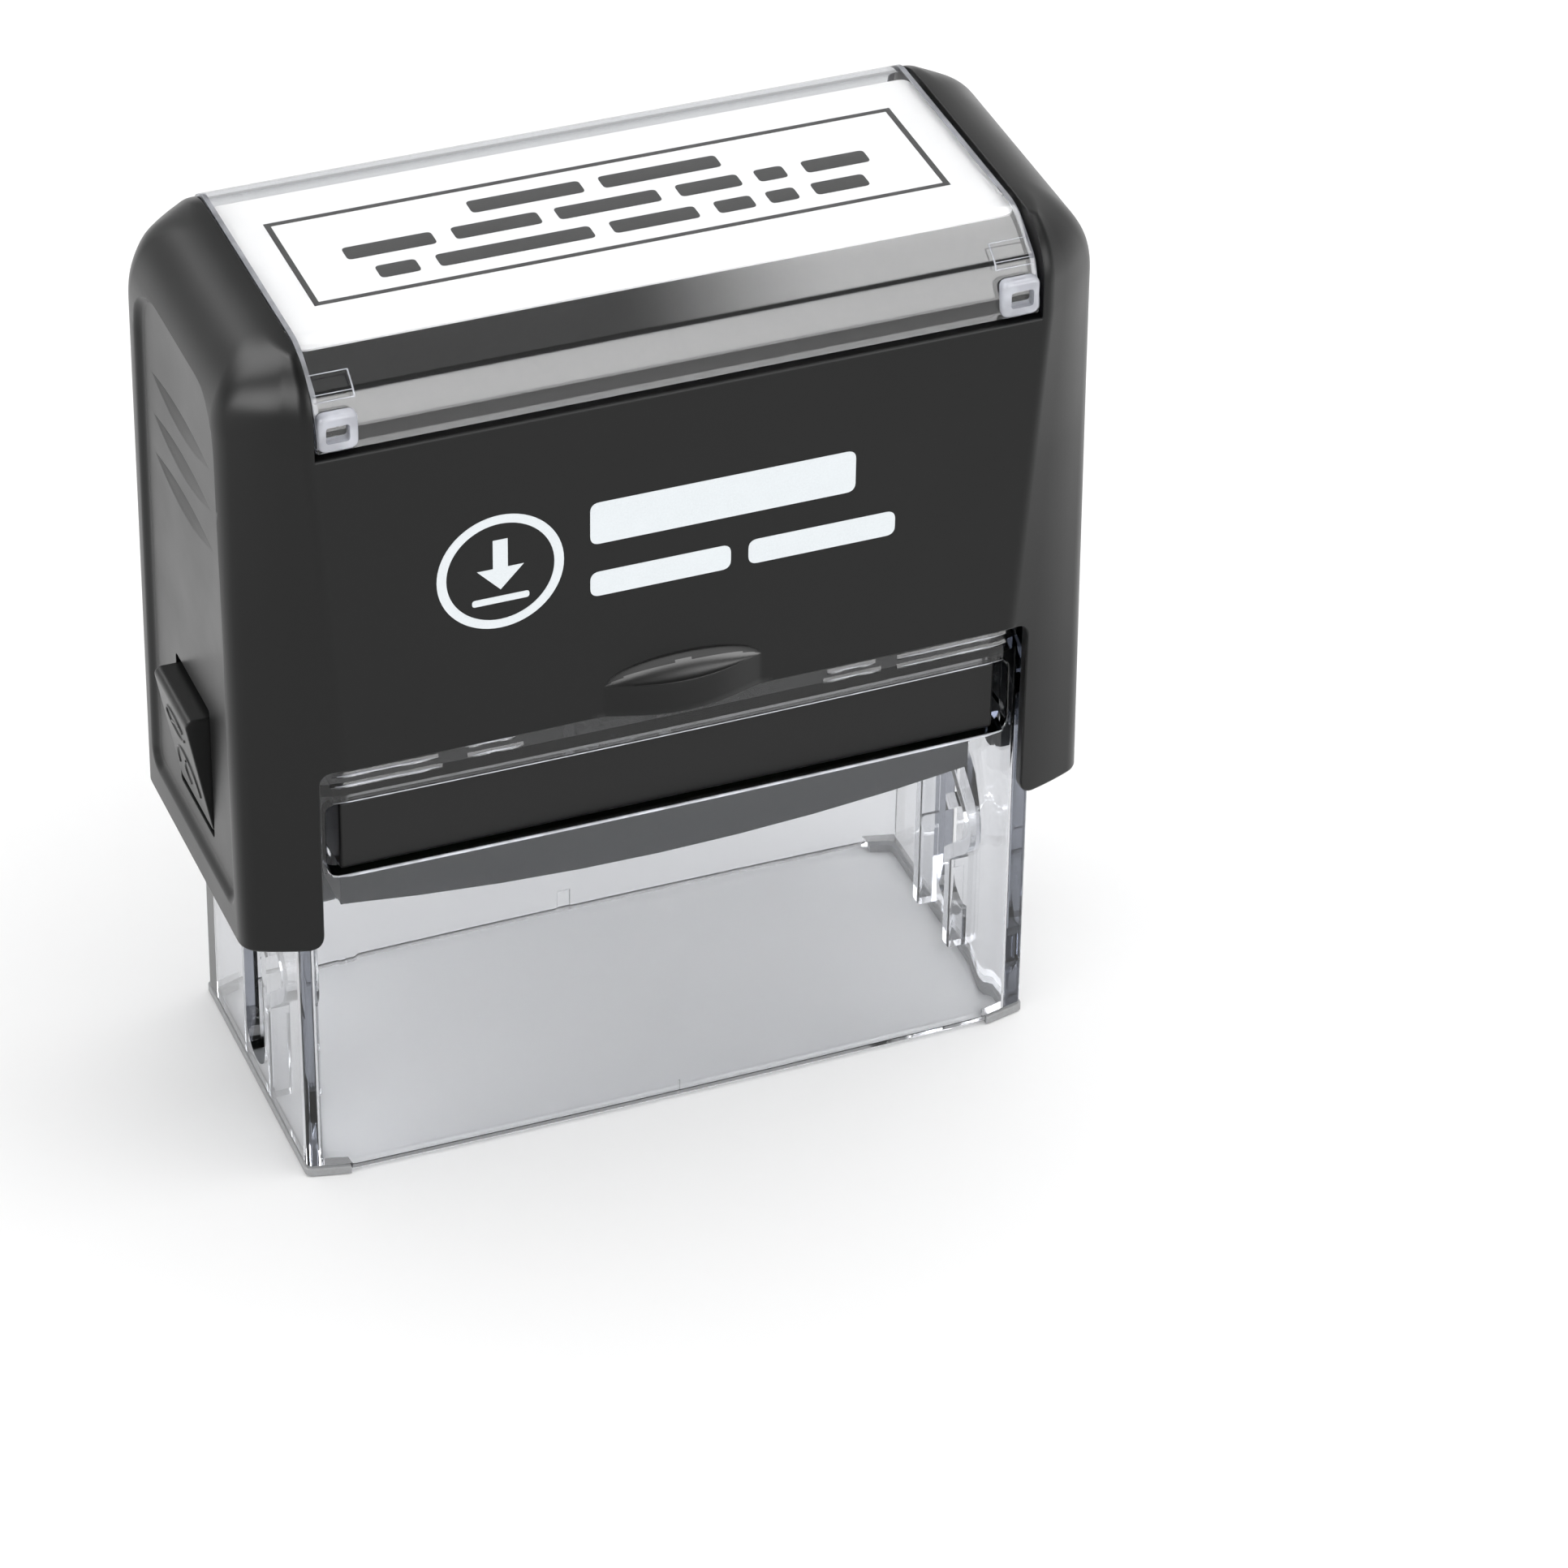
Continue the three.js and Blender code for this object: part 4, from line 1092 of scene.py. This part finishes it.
def make_felt():
    """The inked felt: a soft block with rolled edges and a slightly wavy face."""
    middle, half = cad_box("ink_felt")
    felt = bevelled(box(tuple(middle - half), tuple(middle + half)), 0.6, 4)
    form = bmesh.new()
    form.from_mesh(felt.data)
    long_edges = [e for e in form.edges if e.calc_length() > 4]
    bmesh.ops.subdivide_edges(form, edges=long_edges, cuts=24, use_grid_fill=True)
    for v in form.verts:
        inward = 0.06 * (1 + math.sin(v.co.x * 1.7) * math.cos(v.co.y * 1.3))
        v.co.z += inward if v.co.z < middle.z - half.z + 0.1 else 0
    form.to_mesh(felt.data)
    form.free()
    return felt


def dull_roof(tray):
    """Gives the tray's top, which slides under the frame's deck, a duller finish."""
    tray.data.materials.append(ROOF_BLACK)
    for face in tray.data.polygons:
        if face.normal.z > 0.5:
            face.material_index = 1


dull_roof(finish_piece(make_tray(), "tray_moulding", "ink_pad", TRAY_BLACK, ["pad_tray"]))
felt = finish_piece(make_felt(), "felt_pad", "ink_pad", INK_FELT, ["ink_felt"], 40)

# ---- The spring ----


def make_spring():
    """A coil of round wire whose first and last turns lie flat."""
    wire, radius = SPRING.wire, SPRING.radius
    low, high = SPRING.bottom + wire / 2, SPRING.top - wire / 2
    turns, steps = SPRING.turns + 2, 36
    path = []
    for i in range(turns * steps + 1):
        turn = i / steps
        lift = clamp((turn - 1) / SPRING.turns)
        start = low + wire * 0.51 * min(turn, 1)
        end = high - wire * 0.5 * (1 - clamp(turn - turns + 1))
        path.append((radius * math.cos(turn * TAU), radius * math.sin(turn * TAU), lerp(start, end, lift)))
    return tube(path, wire / 2, 12, lambda heading, point: Vector((*point[:2], 0)).normalized())


spring = finish_piece(
    make_spring(), "spring_coil", "frame", SPRING_STEEL, ["return_spring"], weighted=False
)
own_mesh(spring)

# ---- The foam under the rubber ----


def make_foam():
    """The foam sheet between the carrier and the rubber, with rounded edges and a slightly uneven rim."""
    middle, half = cad_box("die_cushion")
    outline = divided(rectangle(-half.x, -half.y, half.x, half.y, 0.6), 0.8)
    rings = []
    for z, inset in eased(middle.z - half.z, middle.z + half.z, ((0, 0.22), (0.07, 0.07), (0.2, 0))):
        ring = []
        for x, y in outline:
            ragged = 0.04 * (1 + math.sin(x * 5.1 + z * 9) * math.cos(y * 4.3))
            pull = 1 - (inset + ragged) / math.hypot(x, y)
            ring.append((x * pull, y * pull, z))
        rings.append(ring)
    return moved(loft(rings), middle.x, middle.y)


foam = finish_piece(make_foam(), "foam_sheet", "die_carrier", FOAM, ["die_cushion"], 40)

# ---- CAD nodes whose shape is right ----


REPAINTED = dict(inner_yoke=INNER_BLACK, spring_seat=INNER_BLACK, die_holder=INNER_BLACK, rubber_die=RUBBER)
for side in ("left", "right"):
    REPAINTED[f"axle_pin_{side}"] = PIN_STEEL
    REPAINTED[f"cam_pin_{side}"] = PIN_STEEL
for node, material in REPAINTED.items():
    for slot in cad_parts[node].material_slots:
        slot.material = material

# ---- The floor, lights and camera ----


def floor_material():
    n = material_nodes("floor_white")
    return n.show(n.principled({
        "Base Color": n.mixed(n.grain(3.0), grey(0.9), grey(0.92)),
        "Roughness": 0.85,
        "Specular IOR Level": 0.1,
        "Normal": n.bump(n.grain(900.0), 0.1, 0.00002),
    }))


def make_floor():
    outline = placed(circle(4.0, 64), -0.00005, "z")
    floor = new_object("floor", outline, [tuple(range(len(outline)))])
    floor.data.materials.append(floor_material())


# Soft boxes as they show in reflections: direction, half width and half height, edge and brightness.
BOXES = (
    ((0.42, -0.86, 0.30), (0.42, 0.36), 0.06, 5.4),
    ((-0.52, 0.47, 0.71), (0.34, 0.20), 0.06, 9.5),
    ((-0.91, -0.26, 0.33), (0.34, 0.26), 0.06, 10.0),
)
HIGH_BOX = Sizes(left=0.298, grade=0.035, low=0.82, brightness=5.2)  # fades in from the left
PALE_ROOM = 1.09  # the background's strength, as seen


class Room(Nodes):
    """The room: pale to look at, and in reflections a dim ceiling with soft boxes."""

    def __init__(self, world):
        super().__init__(world, "ShaderNodeOutputWorld")
        self.direction = self.add("ShaderNodeTexCoord").outputs["Generated"]

    def along(self, axis):
        inputs = {0: self.direction, 1: axis}
        return self.add("ShaderNodeVectorMath", inputs, operation="DOT_PRODUCT").outputs["Value"]

    def graded(self, value, start, end):
        return self.ranged(value, 0.0, 1.0, start, end, "SMOOTHSTEP")

    def inside(self, axis, depth, half, edge):
        """Where the box's plane is less than half from its middle along an axis, with a soft edge."""
        offset = self.math("DIVIDE", self.along(axis), depth)
        return self.graded(self.math("ABSOLUTE", offset), half + edge, half - edge)

    def soft_box(self, towards, half, edge, brightness):
        ahead = Vector(towards).normalized()
        right = ahead.cross(Vector((0, 0, 1))).normalized()
        depth = self.math("MAXIMUM", self.along(ahead), 0.001)
        sides = [self.inside(axis, depth, h, edge) for axis, h in zip((right, right.cross(ahead)), half)]
        in_front = self.math("GREATER_THAN", self.along(ahead), 0.01)
        mask = self.math("MULTIPLY", self.math("MULTIPLY", *sides), in_front)
        return self.math("MULTIPLY", mask, brightness)

    def high_box(self, height):
        """The box overhead on the right, which fades in from its left and stops short of the low box."""
        left, low = HIGH_BOX.left, HIGH_BOX.low
        across_it = self.graded(self.along((1, 0, 0)), left, left + HIGH_BOX.grade)
        mask = self.math("MULTIPLY", across_it, self.graded(height, low - 0.03, low + 0.03))
        return self.math("MULTIPLY", mask, HIGH_BOX.brightness)

    def background(self, strength):
        inputs = {"Color": grey(1.0), "Strength": strength}
        return self.add("ShaderNodeBackground", inputs).outputs["Background"]


def make_world():
    world = bpy.data.worlds.new("studio")
    bpy.context.scene.world = world
    n = Room(world)
    height = n.along((0, 0, 1))
    light = n.ranged(height, 0.65, 0.25, kind="SMOOTHSTEP")
    for reflected in [*[n.soft_box(*soft_box) for soft_box in BOXES], n.high_box(height)]:
        light = n.math("ADD", light, reflected)
    path = n.add("ShaderNodeLightPath").outputs
    inner = n.math("GREATER_THAN", path["Glossy Depth"], 0.5)  # a reflection inside clear plastic
    through = n.math("MULTIPLY", path["Is Transmission Ray"], inner)
    reflecting = n.math("MAXIMUM", path["Is Glossy Ray"], through)
    n.show(n.mixed_shaders(reflecting, n.background(PALE_ROOM), n.background(light)))


def area_light(name, direction, distance, size, watts):
    """A soft box that looks at the stamp from a direction. It lights, and is left out of reflections."""
    data = bpy.data.lights.new(name, "AREA")
    data.shape = "RECTANGLE"
    data.size, data.size_y = size
    data.energy = watts
    light = linked(name, data)
    towards = Vector(direction).normalized()
    light.location = Vector((0, 0, 0.06)) + towards * distance
    light.rotation_euler = towards.to_track_quat("Z", "Y").to_euler()
    light.visible_glossy = False


def make_lights():
    area_light("overhead", (0.35, -0.1, 1.0), 1.1, (0.9, 0.9), 2.5)
    area_light("from_right", (1.0, -0.35, 0.55), 1.1, (0.6, 0.6), 1.1)


CAMERA = Sizes(
    place=(-174.879, -468.351, 387.968), azimuth=-0.3896950585, height=0.6265072820, roll=0.0196942720,
    lens=148.65,
)


def make_camera():
    data = bpy.data.cameras.new("camera")
    data.lens = CAMERA.lens
    data.sensor_width = 36.0
    data.clip_start, data.clip_end = 0.01, 20.0
    camera = linked("camera", data)
    azimuth, height, roll = CAMERA.azimuth, CAMERA.height, CAMERA.roll
    right = Vector((math.cos(azimuth), math.sin(azimuth), 0))
    ahead = Vector((math.sin(azimuth), -math.cos(azimuth), 0))
    back = ahead * math.cos(height) + Vector((0, 0, math.sin(height)))
    up = back.cross(right)
    turned_right = right * math.cos(roll) + up * math.sin(roll)
    turned_up = up * math.cos(roll) - right * math.sin(roll)
    matrix = Matrix((turned_right, turned_up, back)).transposed().to_4x4()
    matrix.translation = Vector(CAMERA.place) * MM + Vector((0, MIDDLE_Y, 0))
    camera.matrix_world = matrix
    bpy.context.scene.camera = camera


make_floor()
make_world()
make_lights()
make_camera()
bpy.context.scene.view_settings.view_transform = "Standard"
